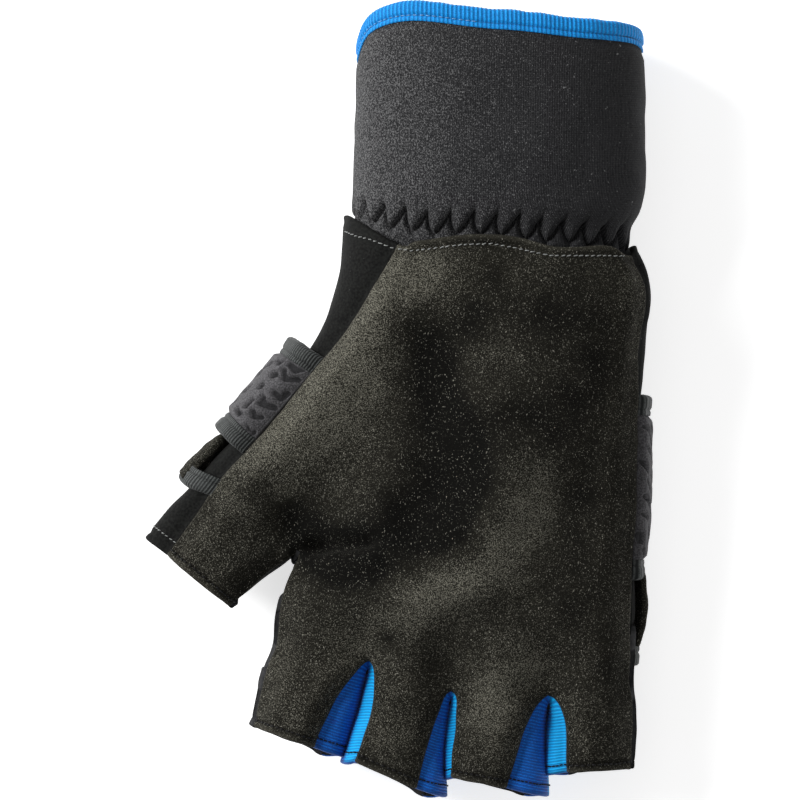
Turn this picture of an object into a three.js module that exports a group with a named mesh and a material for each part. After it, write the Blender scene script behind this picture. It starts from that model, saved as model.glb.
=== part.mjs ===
// Flip-top sport glove, right hand, lying on its back with the palm up.
// Millimetres. +Z is up, the wrist is towards +Y and the thumb towards -X.
// The mitten hood and the thumb cap are folded back under their keeper bands.

import * as THREE from "three";

// Driving dimensions
const SHELL_WALL = 1.8;
const SEAM_GAP = 0.2;
const KNIT_SEAM_GAP = 0.4;
const CUFF_WALL = 2.6;
const CUFF_SIDES = 32;
const BAND_THICK = 3.0;
const BOUND_EDGE = 1.4;
const TAPE = 0.7;
const TAPE_GAP = 0.3;
const TAPE_WIDTH = 4.8;
const TAPE_MARGIN = 1.3;
const LAYER_GAP = 0.8;
const HOOD_WALL = 1.7;
const CAP_WALL = 1.4;
const FLAT_HOLLOW = 0.5;
const FINGER_CLEARANCE = 0.5;
const BACK_INSET = 7;
const WEB_INSET = 5;
const WEB_INSET_STEPS = 3;
const CORNER_LIFT = 1.2;

// Roundness of the front across the hand and across a digit, and how wide its valleys are in columns
const HAND_ROUNDNESS = 2.4;
const DIGIT_ROUNDNESS = 2.2;
const WEB_VALLEY = 2.2;
const KNUCKLE_VALLEY = 1.2;
const THUMB_FADE_ROWS = 3;

// Columns across the front: five over the thumb, then four for each finger.
const THUMB_COLUMNS = 5;
const FINGER_COLUMNS = 4;
const LAST_COLUMN = THUMB_COLUMNS + 4 * FINGER_COLUMNS;

// Rows from the wrist hem to the open ends of the fingers
const CROTCH_ROW = 8;
const KNUCKLE_ROW = 13;
const TIP_ROW = 18;
const THUMB_TIP_ROW = 13;
const SIDE_STEPS = 4;

// Outlines of the suede front, seen from above, as x and y
const OUTLINE = {
  hem: [[-0.9, 43.6], [6.2, 44.6], [17.6, 46.3], [32.7, 45.7], [45, 42.9], [60, 43.2], [66.6, 40.8]],
  outerThumb: [[-0.9, 43.6], [-12.5, 24], [-29.4, 2.7], [-53.4, -24.7]],
  outerHand: [[66.6, 40.8], [68.8, 5], [67.5, -33]],
  thumbRoot: [[-53.4, -24.7], [-41.5, -34.5], [-29.4, -44.3]],
  middlePalm: [[-29.4, -44.3], [20, -40], [67.5, -33]],
  indexRoot: [[-29.4, -44.3], [-34.3, -57], [-35.5, -69.5]],
  littleRoot: [[67.5, -33], [66.2, -58], [66.3, -80]],
};
const KNUCKLES = [[-35.5, -69.5], [-8.8, -74.4], [14.6, -83.2], [42.3, -84.4], [66.3, -80]];

// Each digit from its root to its open end: seams as x and y, heights at the end
const DIGITS = [
  {
    name: "thumb", first: 0, root: CROTCH_ROW, tip: THUMB_TIP_ROW,
    left: [[-53.4, -24.7], [-59.5, -34], [-66.5, -43.5]],
    right: [[-29.4, -44.3], [-37.5, -49.3], [-47.5, -57.3]],
    leftZ: 29, rightZ: 26, crest: 34.5, back: 11,
  },
  {
    name: "index", first: 5, root: KNUCKLE_ROW, tip: TIP_ROW,
    left: [[-35.5, -69.5], [-39.7, -80.5], [-42.6, -92.5]],
    right: [[-8.8, -74.4], [-15.9, -82], [-24, -98.8]],
    leftZ: 20, rightZ: 29, crest: 32, back: 9,
  },
  {
    name: "middle", first: 9, root: KNUCKLE_ROW, tip: TIP_ROW,
    left: [[-8.8, -74.4], [-7.6, -84], [-13.2, -103]],
    right: [[14.6, -83.2], [10.4, -91.3], [5.1, -111]],
    leftZ: 30, rightZ: 30, crest: 33, back: 9,
  },
  {
    name: "ring", first: 13, root: KNUCKLE_ROW, tip: TIP_ROW,
    left: [[14.6, -83.2], [15.4, -90], [13.9, -107]],
    right: [[42.3, -84.4], [37, -91.5], [30.7, -109.5]],
    leftZ: 29, rightZ: 30, crest: 33, back: 9,
  },
  {
    name: "little", first: 17, root: KNUCKLE_ROW, tip: TIP_ROW,
    left: [[42.3, -84.4], [46.3, -90], [47, -105.8]],
    right: [[66.3, -80], [66.9, -92], [66.6, -104.8]],
    leftZ: 28.5, rightZ: 22, crest: 31, back: 9,
  },
];

// Heights of the hand: web and knuckle are valley depths beside the thumb and between fingers
const HAND_ROWS = [
  { row: 0, crest: 45.6, left: 41, right: 31, web: 0, knuckle: 0, back: 0.4 },
  { row: 2, crest: 45, left: 36, right: 30, web: 0.5, knuckle: 0, back: 5.6 },
  { row: 4, crest: 43.5, left: 32.5, right: 28.5, web: 3, knuckle: 0, back: 8.6 },
  { row: 6, crest: 42, left: 30.5, right: 28, web: 7, knuckle: 0, back: 8.6 },
  { row: 8, crest: 41, left: 29, right: 27, web: 11.5, knuckle: 0, back: 8.6 },
  { row: 10, crest: 39.5, left: 26, right: 26, web: 0, knuckle: 0.6, back: 9.4 },
  { row: 11, crest: 38.8, left: 25, right: 25.3, web: 0, knuckle: 1.6, back: 11.3 },
  { row: 13, crest: 37, left: 23, right: 24, web: 0, knuckle: 5.5, back: 12.4 },
  { row: 18, crest: 33, left: 20, right: 22, web: 0, knuckle: 0, back: 9 },
];

// How far the black shell bulges out beyond the seams, and the height where it is widest
const OUTER_LEFT = [
  { row: 0, out: 18, mid: 23, lift: -3 },
  { row: 1, out: 12.8, mid: 23, lift: 0 },
  { row: 2, out: 8.4, mid: 23, lift: 0 },
  { row: 4, out: 5, mid: 22, lift: 0 },
  { row: 8, out: 4.6, mid: 21, lift: 0 },
  { row: 13, out: 7.2, mid: 21, lift: 0 },
];
const OUTER_RIGHT = [
  { row: 0, out: 1.6, mid: 22, lift: 0 },
  { row: 1.5, out: 2.6, mid: 21, lift: 0 },
  { row: 4, out: 0.8, mid: 20, lift: 0 },
  { row: 13, out: 0.4, mid: 19, lift: 0 },
  { row: 18, out: 0.2, mid: 18, lift: 0 },
];
const THUMB_WEB = [
  { step: -5, out: 2.2, mid: 20 },
  { step: -1, out: 2, mid: 20 },
  { step: 0, out: 2, mid: 20 },
  { step: 1, out: 1, mid: 19 },
  { step: 10, out: 0.4, mid: 17 },
];

// Lines in the three gaps where neighbouring fingers meet at half their depth, as y and x
const GAPS = [
  { name: "fourchette_index_middle", column: 9, left: "index", right: "middle",
    line: [[-76.4, -8.9], [-84.8, -10.9], [-94.2, -13.7], [-106, -17.4]] },
  { name: "fourchette_middle_ring", column: 13, left: "middle", right: "ring",
    line: [[-84.8, 14.6], [-92, 13.4], [-100, 12.8], [-114, 13.2]] },
  { name: "fourchette_ring_little", column: 17, left: "ring", right: "little",
    line: [[-86, 42.3], [-91, 41.9], [-97, 41.5], [-114, 42]] },
];
const GAP_DEPTH = 1.8;
const GAP_MID = 19;
const END_REACH = 1.8;

// Sections of the cuff along the wrist
const CUFF_ROWS = [
  { y: 36, centre: 26.5, half: 35, mid: 22.6, depth: 18.4 },
  { y: 43, centre: 26.5, half: 35.8, mid: 22.6, depth: 18.6 },
  { y: 49, centre: 27, half: 37.2, mid: 22.6, depth: 19.2 },
  { y: 55, centre: 28, half: 40.8, mid: 22.6, depth: 22 },
  { y: 66, centre: 28.2, half: 41.9, mid: 22.6, depth: 23.2 },
  { y: 90, centre: 28.5, half: 41.6, mid: 22.6, depth: 23 },
  { y: 100, centre: 28.4, half: 41, mid: 22.8, depth: 22 },
  { y: 115, centre: 28.3, half: 40.4, mid: 23, depth: 21.4 },
];
const CUFF_LEVELS = [0, 0.1, 0.2, 0.3, 0.45, 0.7, 1];
const CUFF_THIN_FROM = 5.6;
const CUFF_FULL_FROM = 7.4;
const CUFF_ROUNDNESS = 2.5;
const SLOPE_STEP = 2;

// Upper and lower edge of the cuff by angle, from the little-finger side over the palm
const CUFF_EDGES = [
  { angle: 0, rim: 103.4, foot: 35 },
  { angle: 45, rim: 106.6, foot: 37 },
  { angle: 90, rim: 111, foot: 40 },
  { angle: 125, rim: 113, foot: 41 },
  { angle: 155, rim: 110, foot: 42 },
  { angle: 180, rim: 97.6, foot: 43 },
  { angle: 215, rim: 101, foot: 42 },
  { angle: 270, rim: 105, foot: 39 },
  { angle: 360, rim: 103.4, foot: 35 },
];

// Layers on the back. Across is counted from the back corner: below zero it climbs the side
// up to the seam at -4, and above zero it runs over the back column by column.
const HAND_BAND = {
  from: 4.4, to: 9.5, low: -3.3, high: 13.8, steps: 6, sections: 20,
};
const HAND_BAND_LIFT = [
  { across: -3.3, lift: 0.9 },
  { across: -2, lift: 1.5 },
  { across: -0.8, lift: 5 },
  { across: 0, lift: 5.6 },
  { across: 12.1, lift: 5.6 },
  { across: 13.8, lift: 0.9 },
];
const THUMB_BAND = {
  from: 3.95, to: 6.85, low: -3.6, high: 4.4, steps: 4, sections: 14,
};
const THUMB_BAND_LIFT = [
  { across: -3.6, lift: 0.9 },
  { across: -2.8, lift: 4.6 },
  { across: -2.4, lift: 5.2 },
  { across: 2.9, lift: 5.2 },
  { across: 4.4, lift: 0.9 },
];
const BAND_EDGE_LIFT = 1.3;

// Folded pockets, from the open mouth to the closed tip
const HOOD = {
  mouth: 12.5, tip: 2.3, low: -2.4, high: 14.6, wall: HOOD_WALL, ease: 0.8, steps: 9, sections: 14,
};
const HOOD_SHAPE = [
  { at: 0, width: 1, hollow: 6.7 },
  { at: 0.15, width: 0.9, hollow: 5.2 },
  { at: 0.24, width: 0.76, hollow: FLAT_HOLLOW },
  { at: 0.3, width: 0.66, hollow: FLAT_HOLLOW },
  { at: 0.7, width: 0.62, hollow: FLAT_HOLLOW },
  { at: 0.9, width: 0.46, hollow: FLAT_HOLLOW },
  { at: 1, width: 0.24, hollow: 0.4 },
];
const CAP = {
  mouth: 7.9, tip: 3.3, low: -2.2, high: 2.5, wall: CAP_WALL, ease: 0.2, steps: 7, sections: 11,
};
const CAP_SHAPE = [
  { at: 0, width: 1, hollow: 2.3 },
  { at: 0.1, width: 0.98, hollow: 1.7 },
  { at: 0.2, width: 0.95, hollow: FLAT_HOLLOW },
  { at: 0.7, width: 0.9, hollow: FLAT_HOLLOW },
  { at: 1, width: 0.5, hollow: 0.4 },
];
// The hollow of a pocket ends before its tip and its sides, and its sides are rounded by this power
const HOLLOW_LENGTH = 0.95;
const HOLLOW_REACH = 0.92;
const POCKET_ROUNDNESS = 4;
// A point this near the floor is put on it
const FLOOR_SNAP = 0.35;

// A band's padding starts this many tape widths in, and a tape's fold is chamfered at these shares
const PADDING_START = 1.15;
const TAPE_SHOULDER = 0.45;
const TAPE_CHAMFER = 0.6;

const MATERIALS = {
  neoprene: { color: 0x2f2f31, roughness: 0.85 },
  suede: { color: 0x34322b, roughness: 0.95 },
  shell: { color: 0x1c1d1b, roughness: 0.9 },
  blueTape: { color: 0x0a82e1, roughness: 0.7 },
  blueKnit: { color: 0x1b9cf2, roughness: 0.8 },
  embossed: { color: 0x5a5a60, roughness: 0.8 },
  greyTape: { color: 0x4a4e50, roughness: 0.8 },
};

const group = new THREE.Group();

function material(kind) {
  const look = MATERIALS[kind];
  return new THREE.MeshStandardMaterial({ ...look, metalness: 0 });
}

// Value of one column of a table at a place in its first column, on a smooth curve
function fromTable(table, key, place, column) {
  const last = table.length - 1;
  const at = Math.min(Math.max(place, table[0][key]), table[last][key]);
  let i = 0;
  while (i < last - 1 && at > table[i + 1][key]) {
    i += 1;
  }
  const before = table[Math.max(i - 1, 0)];
  const a = table[i];
  const b = table[i + 1];
  const after = table[Math.min(i + 2, last)];
  const width = b[key] - a[key];
  const slopeA = (b[column] - before[column]) / (b[key] - before[key]);
  const slopeB = (after[column] - a[column]) / (after[key] - a[key]);
  const t = (at - a[key]) / width;
  const rise = b[column] - a[column];
  const bendA = slopeA * width - rise;
  const bendB = rise - slopeB * width;
  return a[column] + t * rise + t * (1 - t) * ((1 - t) * bendA + t * bendB);
}

function curveThrough(points) {
  return new THREE.CatmullRomCurve3(points.map(([x, y]) => new THREE.Vector3(x, y, 0)));
}

// Rounded arch: one in the middle, falling to nothing at both edges
function arch(share, power) {
  const u = Math.min(Math.abs(2 * share - 1), 1);
  return Math.pow(1 - Math.pow(u, power), 1 / power);
}

// Patch between four boundary curves, where each curve is a function of a share from 0 to 1
function patchPoint(top, bottom, left, right, u, v) {
  const point = new THREE.Vector3();
  point.addScaledVector(top(u), 1 - v);
  point.addScaledVector(bottom(u), v);
  point.addScaledVector(left(v), 1 - u);
  point.addScaledVector(right(v), u);
  point.addScaledVector(top(0), -(1 - u) * (1 - v));
  point.addScaledVector(top(1), -u * (1 - v));
  point.addScaledVector(bottom(0), -(1 - u) * v);
  point.addScaledVector(bottom(1), -u * v);
  return point;
}

// One name for each point of the glove's surface
const frontName = (part, row, column) => `front ${part} ${row} ${column}`;
const backName = (part, row, column) => `back ${part} ${row} ${column}`;

function digitPart(digit, row) {
  return row > digit.root ? digit.name : "hand";
}

// Front of the hand down to the knuckles, in plan
function handPlan(row, column) {
  const curves = {};
  for (const [name, points] of Object.entries(OUTLINE)) {
    curves[name] = curveThrough(points);
  }
  if (row <= CROTCH_ROW) {
    const bottom = (u) => {
      const place = u * LAST_COLUMN;
      if (place <= THUMB_COLUMNS) {
        return curves.thumbRoot.getPointAt(place / THUMB_COLUMNS);
      }
      const share = (place - THUMB_COLUMNS) / (LAST_COLUMN - THUMB_COLUMNS);
      return curves.middlePalm.getPointAt(Math.min(share, 1));
    };
    return patchPoint(
      (u) => curves.hem.getPointAt(u), bottom,
      (v) => curves.outerThumb.getPointAt(v), (v) => curves.outerHand.getPointAt(v),
      column / LAST_COLUMN, row / CROTCH_ROW,
    );
  }
  const knuckles = (u) => {
    const spans = KNUCKLES.length - 1;
    const i = Math.min(Math.floor(u * spans), spans - 1);
    const share = u * spans - i;
    const [x, y] = KNUCKLES[i].map((value, axis) => value + (KNUCKLES[i + 1][axis] - value) * share);
    return new THREE.Vector3(x, y, 0);
  };
  return patchPoint(
    (u) => curves.middlePalm.getPointAt(u), knuckles,
    (v) => curves.indexRoot.getPointAt(v), (v) => curves.littleRoot.getPointAt(v),
    (column - THUMB_COLUMNS) / (LAST_COLUMN - THUMB_COLUMNS),
    (row - CROTCH_ROW) / (KNUCKLE_ROW - CROTCH_ROW),
  );
}

// Height of the front of the hand
function handHeight(row, column) {
  const value = (name) => fromTable(HAND_ROWS, "row", row, name);
  const whole = (first) => {
    const share = (column - first) / (LAST_COLUMN - first);
    const edge = value("left") + (value("right") - value("left")) * share;
    return edge + (value("crest") - edge) * arch(share, HAND_ROUNDNESS);
  };
  const past = THREE.MathUtils.smoothstep(row, CROTCH_ROW, CROTCH_ROW + THUMB_FADE_ROWS);
  let height = whole(0);
  if (past > 0) {
    height = height * (1 - past) + whole(THUMB_COLUMNS) * past;
  }
  const web = fromTable(HAND_ROWS, "row", Math.min(row, CROTCH_ROW), "web") * (1 - past);
  height -= web * Math.exp(-(((column - THUMB_COLUMNS) / WEB_VALLEY) ** 2));
  for (const gap of GAPS) {
    height -= value("knuckle") * Math.exp(-(((column - gap.column) / KNUCKLE_VALLEY) ** 2));
  }
  return height;
}

// Front of one digit beyond its root row
function placeDigit(points, digit) {
  const columns = digit.name === "thumb" ? THUMB_COLUMNS : FINGER_COLUMNS;
  const left = curveThrough(digit.left);
  const right = curveThrough(digit.right);
  const root = (across) => points.get(frontName("hand", digit.root, digit.first + across));
  const rootBulge = root(Math.round(columns / 2)).z - (root(0).z + root(columns).z) / 2;
  const endBulge = digit.crest - (digit.leftZ + digit.rightZ) / 2;
  for (let row = digit.root + 1; row <= digit.tip; row += 1) {
    const t = (row - digit.root) / (digit.tip - digit.root);
    const a = left.getPointAt(t).setZ(THREE.MathUtils.lerp(root(0).z, digit.leftZ, t));
    const b = right.getPointAt(t).setZ(THREE.MathUtils.lerp(root(columns).z, digit.rightZ, t));
    const bulge = THREE.MathUtils.lerp(rootBulge, endBulge, t);
    for (let c = 0; c <= columns; c += 1) {
      const point = a.clone().lerp(b, c / columns);
      point.z += bulge * arch(c / columns, DIGIT_ROUNDNESS);
      points.set(frontName(digit.name, row, digit.first + c), point);
    }
  }
}

// Lists of stations around the hand, anticlockwise from above, where front and back are joined
function sidePaths() {
  const digit = Object.fromEntries(DIGITS.map((entry) => [entry.name, entry]));
  const down = (entry, column, from) => {
    const list = [];
    for (let row = from; row <= entry.tip; row += 1) {
      const end = (row - entry.root) / (entry.tip - entry.root);
      list.push({ part: digitPart(entry, row), row, column, end });
    }
    return list;
  };
  const between = (a, b, column, root) => [
    ...down(a, column, root + 1).reverse(),
    ...down(b, column, root),
  ];
  const paths = [
    { name: "left", piece: "back_shell", table: OUTER_LEFT, stations: down(digit.thumb, 0, 0) },
    {
      name: "right", piece: "back_shell", table: OUTER_RIGHT,
      stations: down(digit.little, LAST_COLUMN, 0).reverse(),
    },
    {
      name: "web", piece: "thumb_gusset", table: THUMB_WEB, crotch: THUMB_TIP_ROW - CROTCH_ROW,
      stations: between(digit.thumb, digit.index, THUMB_COLUMNS, CROTCH_ROW),
    },
  ];
  for (const gap of GAPS) {
    paths.push({
      name: gap.name, piece: gap.name, gap, crotch: TIP_ROW - KNUCKLE_ROW,
      stations: between(digit[gap.left], digit[gap.right], gap.column, KNUCKLE_ROW),
    });
  }
  return paths;
}

// Name of a point on a side strip: its first step is on the front and its last on the back
function sidePoint(path, index, step) {
  const { part, row, column } = path.stations[index];
  if (step === 0) {
    return frontName(part, row, column);
  }
  if (step === SIDE_STEPS) {
    return backName(part, row, column);
  }
  return `side ${path.name} ${index} ${step}`;
}

// Height of the back at a station or row
function backHeight(part, row) {
  const digit = DIGITS.find((entry) => entry.name === part);
  if (!digit) {
    return fromTable(HAND_ROWS, "row", row, "back");
  }
  const root = fromTable(HAND_ROWS, "row", digit.root, "back");
  return root + (digit.back - root) * (row - digit.root) / (digit.tip - digit.root);
}

// Widest point of a side strip and the corner where it turns under to the back
function placeSide(points, path) {
  const middle = SIDE_STEPS / 2;
  path.stations.forEach((station, i) => {
    const here = points.get(sidePoint(path, i, 0));
    const before = points.get(sidePoint(path, Math.max(i - 1, 0), 0));
    const after = points.get(sidePoint(path, Math.min(i + 1, path.stations.length - 1), 0));
    const outward = new THREE.Vector3(after.y - before.y, before.x - after.x, 0).normalize();
    const widest = here.clone();
    const step = i - (path.crotch ?? 0);
    let inset = BACK_INSET;
    if (path.gap) {
      const line = path.gap.line.map(([y, x]) => ({ y: -y, x }));
      const side = Math.sign(step);
      widest.y -= step === 0 ? GAP_DEPTH : END_REACH * Math.max(station.end, 0);
      widest.x = fromTable(line, "y", -widest.y, "x") + side * FINGER_CLEARANCE;
      widest.z = GAP_MID;
      outward.set(-side, 0, 0);
      inset = WEB_INSET * THREE.MathUtils.smoothstep(Math.abs(step), 0, WEB_INSET_STEPS);
    } else {
      const key = path.name === "web" ? "step" : "row";
      const place = path.name === "web" ? step : station.row;
      widest.addScaledVector(outward, fromTable(path.table, key, place, "out"));
      widest.z = fromTable(path.table, key, place, "mid");
      if (path.name === "web") {
        inset = WEB_INSET * THREE.MathUtils.smoothstep(Math.abs(step), 0, WEB_INSET_STEPS);
      } else {
        widest.y += fromTable(path.table, key, place, "lift");
      }
    }
    points.set(sidePoint(path, i, middle), widest);
    if (path.crotch !== i) {
      const corner = widest.clone().addScaledVector(outward, -inset);
      corner.z = backHeight(station.part, station.row) + CORNER_LIFT;
      points.set(sidePoint(path, i, SIDE_STEPS), corner);
    }
  });
}

// Back sheet: the front's plan, shifted to meet the corners of its side strips
function placeBack(points) {
  const fill = (part, row, first, last) => {
    const shift = [first, last].map((column) => {
      const corner = points.get(backName(part, row, column)).clone();
      return corner.sub(points.get(frontName(part, row, column))).setZ(0);
    });
    const height = backHeight(part, row);
    for (let column = first + 1; column < last; column += 1) {
      const share = (column - first) / (last - first);
      const point = points.get(frontName(part, row, column)).clone();
      point.add(shift[0].clone().lerp(shift[1], share));
      point.z = height;
      points.set(backName(part, row, column), point);
    }
  };
  for (let row = 0; row <= KNUCKLE_ROW; row += 1) {
    fill("hand", row, row <= CROTCH_ROW ? 0 : THUMB_COLUMNS, LAST_COLUMN);
  }
  for (const digit of DIGITS) {
    const columns = digit.name === "thumb" ? THUMB_COLUMNS : FINGER_COLUMNS;
    for (let row = digit.root + 1; row <= digit.tip; row += 1) {
      fill(digit.name, row, digit.first, digit.first + columns);
    }
  }
}

// Quarter turns between the seam, the widest point and the back corner
function finishSide(points, path) {
  const middle = SIDE_STEPS / 2;
  path.stations.forEach((station, i) => {
    const widest = points.get(sidePoint(path, i, middle));
    for (const end of [0, SIDE_STEPS]) {
      const edge = points.get(sidePoint(path, i, end));
      const point = edge.clone().lerp(widest, Math.SQRT1_2);
      point.z = widest.z + (edge.z - widest.z) * Math.SQRT1_2;
      points.set(sidePoint(path, i, (middle + end) / 2), point);
    }
  });
}

// The whole surface of the glove as named points, with the piece that each face belongs to
function gloveSurface() {
  const points = new Map();
  const faces = [];
  const face = (piece, names) => faces.push({ piece, names });

  for (let row = 0; row <= KNUCKLE_ROW; row += 1) {
    for (let column = row <= CROTCH_ROW ? 0 : THUMB_COLUMNS; column <= LAST_COLUMN; column += 1) {
      const point = handPlan(row, column);
      point.z = handHeight(row, column);
      points.set(frontName("hand", row, column), point);
    }
  }
  DIGITS.forEach((digit) => placeDigit(points, digit));
  const paths = sidePaths();
  paths.forEach((path) => placeSide(points, path));
  placeBack(points);
  paths.forEach((path) => finishSide(points, path));

  const corners = [[0, 0], [1, 0], [1, 1], [0, 1]];
  for (const path of paths) {
    for (let i = 0; i < path.stations.length - 1; i += 1) {
      for (let step = 0; step < SIDE_STEPS; step += 1) {
        face(path.piece, corners.map(([along, down]) => sidePoint(path, i + down, step + along)));
      }
    }
  }
  const quads = (row, column, part, next) => {
    const names = (name) => corners.map(
      ([down, across]) => name(down ? next : part, row + down, column + across));
    face("palm", names(frontName));
    face("back_shell", names(backName).reverse());
  };
  for (let row = 0; row < KNUCKLE_ROW; row += 1) {
    for (let column = row < CROTCH_ROW ? 0 : THUMB_COLUMNS; column < LAST_COLUMN; column += 1) {
      quads(row, column, "hand", "hand");
    }
  }
  for (const digit of DIGITS) {
    const columns = digit.name === "thumb" ? THUMB_COLUMNS : FINGER_COLUMNS;
    for (let row = digit.root; row < digit.tip; row += 1) {
      for (let c = 0; c < columns; c += 1) {
        quads(row, digit.first + c, digitPart(digit, row), digit.name);
      }
    }
  }
  return { points, faces, normals: pointNormals(points, faces) };
}

// Outward normal at every point, from all the faces around it
function pointNormals(points, faces) {
  const normals = new Map([...points.keys()].map((name) => [name, new THREE.Vector3()]));
  for (const { names } of faces) {
    const [a, b, c, d] = names.map((name) => points.get(name));
    const normal = c.clone().sub(a).cross(d.clone().sub(b));
    names.forEach((name) => normals.get(name).add(normal));
  }
  normals.forEach((normal) => normal.normalize());
  return normals;
}

// Closed body being built up from corner points, none below the floor, and outward quads
class Body {
  constructor() {
    this.positions = [];
    this.triangles = [];
  }

  point(vector) {
    this.positions.push(vector.x, vector.y, Math.max(vector.z, 0));
    return this.positions.length / 3 - 1;
  }

  quad(a, b, c, d) {
    this.triangles.push(a, b, c, a, c, d);
  }

  add(name, kind) {
    const geometry = new THREE.BufferGeometry();
    geometry.setAttribute("position", new THREE.Float32BufferAttribute(this.positions, 3));
    geometry.setIndex(this.triangles);
    geometry.computeVertexNormals();
    const mesh = new THREE.Mesh(geometry, material(kind));
    mesh.name = name;
    group.add(mesh);
  }
}

// One piece of the glove: its faces, the same faces one wall further in, and the rim between
function addSheet(surface, piece, kind, gap) {
  const body = new Body();
  const faces = surface.faces.filter((entry) => entry.piece === piece).map((entry) => entry.names);
  const edges = new Set();
  const eachEdge = (names, visit) => names.forEach((name, i) => visit(name, names[(i + 1) % names.length]));
  faces.forEach((names) => eachEdge(names, (a, b) => edges.add(`${a}|${b}`)));
  const rim = [];
  faces.forEach((names) => eachEdge(names, (a, b) => {
    if (!edges.has(`${b}|${a}`)) {
      rim.push([a, b]);
    }
  }));
  const onRim = new Set(rim.flat());
  const inward = new Map();
  for (const names of faces) {
    const centre = new THREE.Vector3();
    names.forEach((name) => centre.addScaledVector(surface.points.get(name), 1 / names.length));
    names.filter((name) => onRim.has(name)).forEach((name) => {
      const sum = inward.get(name) ?? new THREE.Vector3();
      inward.set(name, sum.add(centre).sub(surface.points.get(name)));
    });
  }
  const outer = new Map();
  const inner = new Map();
  for (const name of new Set(faces.flat())) {
    const normal = surface.normals.get(name);
    const place = surface.points.get(name).clone();
    if (onRim.has(name)) {
      const pull = inward.get(name).projectOnPlane(normal).normalize();
      place.addScaledVector(pull, gap);
    }
    outer.set(name, body.point(place));
    inner.set(name, body.point(place.clone().addScaledVector(normal, -SHELL_WALL)));
  }
  for (const names of faces) {
    body.quad(...names.map((name) => outer.get(name)));
    body.quad(...[...names].reverse().map((name) => inner.get(name)));
  }
  for (const [a, b] of rim) {
    const corners = [outer.get(b), outer.get(a), inner.get(a), inner.get(b)];
    body.quad(...(a < b ? corners : [...corners.slice(1), corners[0]]));
  }
  body.add(piece, kind);
}

// A place on the back, at a distance out from the shell
function onBack(surface, side, row, across, lift) {
  const lookup = (r, q) => {
    const digit = DIGITS.find((entry) => entry.name === side.digit);
    const part = digitPart(digit, r);
    if (q >= 0) {
      return backName(part, r, side.edge + side.direction * q);
    }
    const path = side.path;
    const index = path.name === "left" ? r : path.stations.length - 1 - r;
    return sidePoint(path, index, SIDE_STEPS + q);
  };
  const r = Math.min(Math.floor(row), side.lastRow - 1);
  const q = Math.floor(across);
  const place = new THREE.Vector3();
  const normal = new THREE.Vector3();
  for (const [down, over] of [[0, 0], [0, 1], [1, 0], [1, 1]]) {
    const weight = (down ? row - r : 1 - (row - r)) * (over ? across - q : 1 - (across - q));
    const name = lookup(r + down, q + over);
    place.addScaledVector(surface.points.get(name), weight);
    normal.addScaledVector(surface.normals.get(name), weight);
  }
  normal.normalize();
  place.addScaledVector(normal, lift);
  place.z = place.z < FLOOR_SNAP ? 0 : place.z;
  return { place, normal };
}

// Solid between two grids of places, where the second lies further out than the first
function addLayer(name, kind, inner, outer, flip) {
  const body = new Body();
  const grids = [inner, outer].map((grid) => grid.map((row) => row.map((place) => body.point(place))));
  const quad = (a, b, c, d) => (flip ? body.quad(d, c, b, a) : body.quad(a, b, c, d));
  const [low, high] = grids;
  const lastRow = low.length - 1;
  const lastColumn = low[0].length - 1;
  for (let i = 0; i < lastRow; i += 1) {
    for (let j = 0; j < lastColumn; j += 1) {
      quad(high[i][j], high[i + 1][j], high[i + 1][j + 1], high[i][j + 1]);
      quad(low[i][j], low[i][j + 1], low[i + 1][j + 1], low[i + 1][j]);
    }
    quad(high[i][0], low[i][0], low[i + 1][0], high[i + 1][0]);
    quad(low[i][lastColumn], high[i][lastColumn], high[i + 1][lastColumn], low[i + 1][lastColumn]);
  }
  for (let j = 0; j < lastColumn; j += 1) {
    quad(low[0][j], high[0][j], high[0][j + 1], low[0][j + 1]);
    quad(high[lastRow][j], low[lastRow][j], low[lastRow][j + 1], high[lastRow][j + 1]);
  }
  body.add(name, kind);
}

// Straight-line value of the lift table of a band
function bandLift(table, across) {
  const last = table.length - 1;
  const i = Math.max(0, Math.min(last - 1, table.findIndex((entry) => entry.across > across) - 1));
  const a = table[across >= table[last].across ? last - 1 : i];
  const b = table[table.indexOf(a) + 1];
  const t = Math.min(Math.max((across - a.across) / (b.across - a.across), 0), 1);
  return a.lift + (b.lift - a.lift) * t;
}

// How many rows the tape covers on an edge of a band that faces towards higher or lower rows
function tapedRows(surface, side, row, towards, across) {
  const edge = onBack(surface, side, row, across, 0).place;
  const inside = onBack(surface, side, row - towards, across, 0).place;
  return (TAPE_WIDTH * TAPE_MARGIN) / edge.distanceTo(inside);
}

// Keeper band: padded in the middle, squeezed thin where the tape binds its two edges
function addBand(surface, side, size, lifts, name) {
  const columns = [];
  for (let j = 0; j <= size.sections; j += 1) {
    const across = THREE.MathUtils.lerp(size.low, size.high, j / size.sections);
    const lift = bandLift(lifts, across);
    const first = tapedRows(surface, side, size.from, -1, across);
    const last = tapedRows(surface, side, size.to, 1, across);
    const rows = [[size.from, true], [size.from + first, true]];
    for (let i = 0; i <= size.steps; i += 1) {
      const start = size.from + first * PADDING_START;
      const stop = size.to - last * PADDING_START;
      rows.push([THREE.MathUtils.lerp(start, stop, i / size.steps), false]);
    }
    rows.push([size.to - last, true], [size.to, true]);
    const middle = lift + BAND_EDGE_LIFT;
    columns.push(rows.map(([row, thin]) => [
      thin ? middle - BOUND_EDGE / 2 : lift,
      thin ? middle + BOUND_EDGE / 2 : lift + BAND_THICK,
    ].map((level) => onBack(surface, side, row, across, level).place)));
  }
  const rowCount = columns[0].length;
  const face = (level) => Array.from(
    { length: rowCount }, (_, i) => columns.map((column) => column[i][level]));
  addLayer(name, "embossed", face(0), face(1), side.direction > 0);
}

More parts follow.
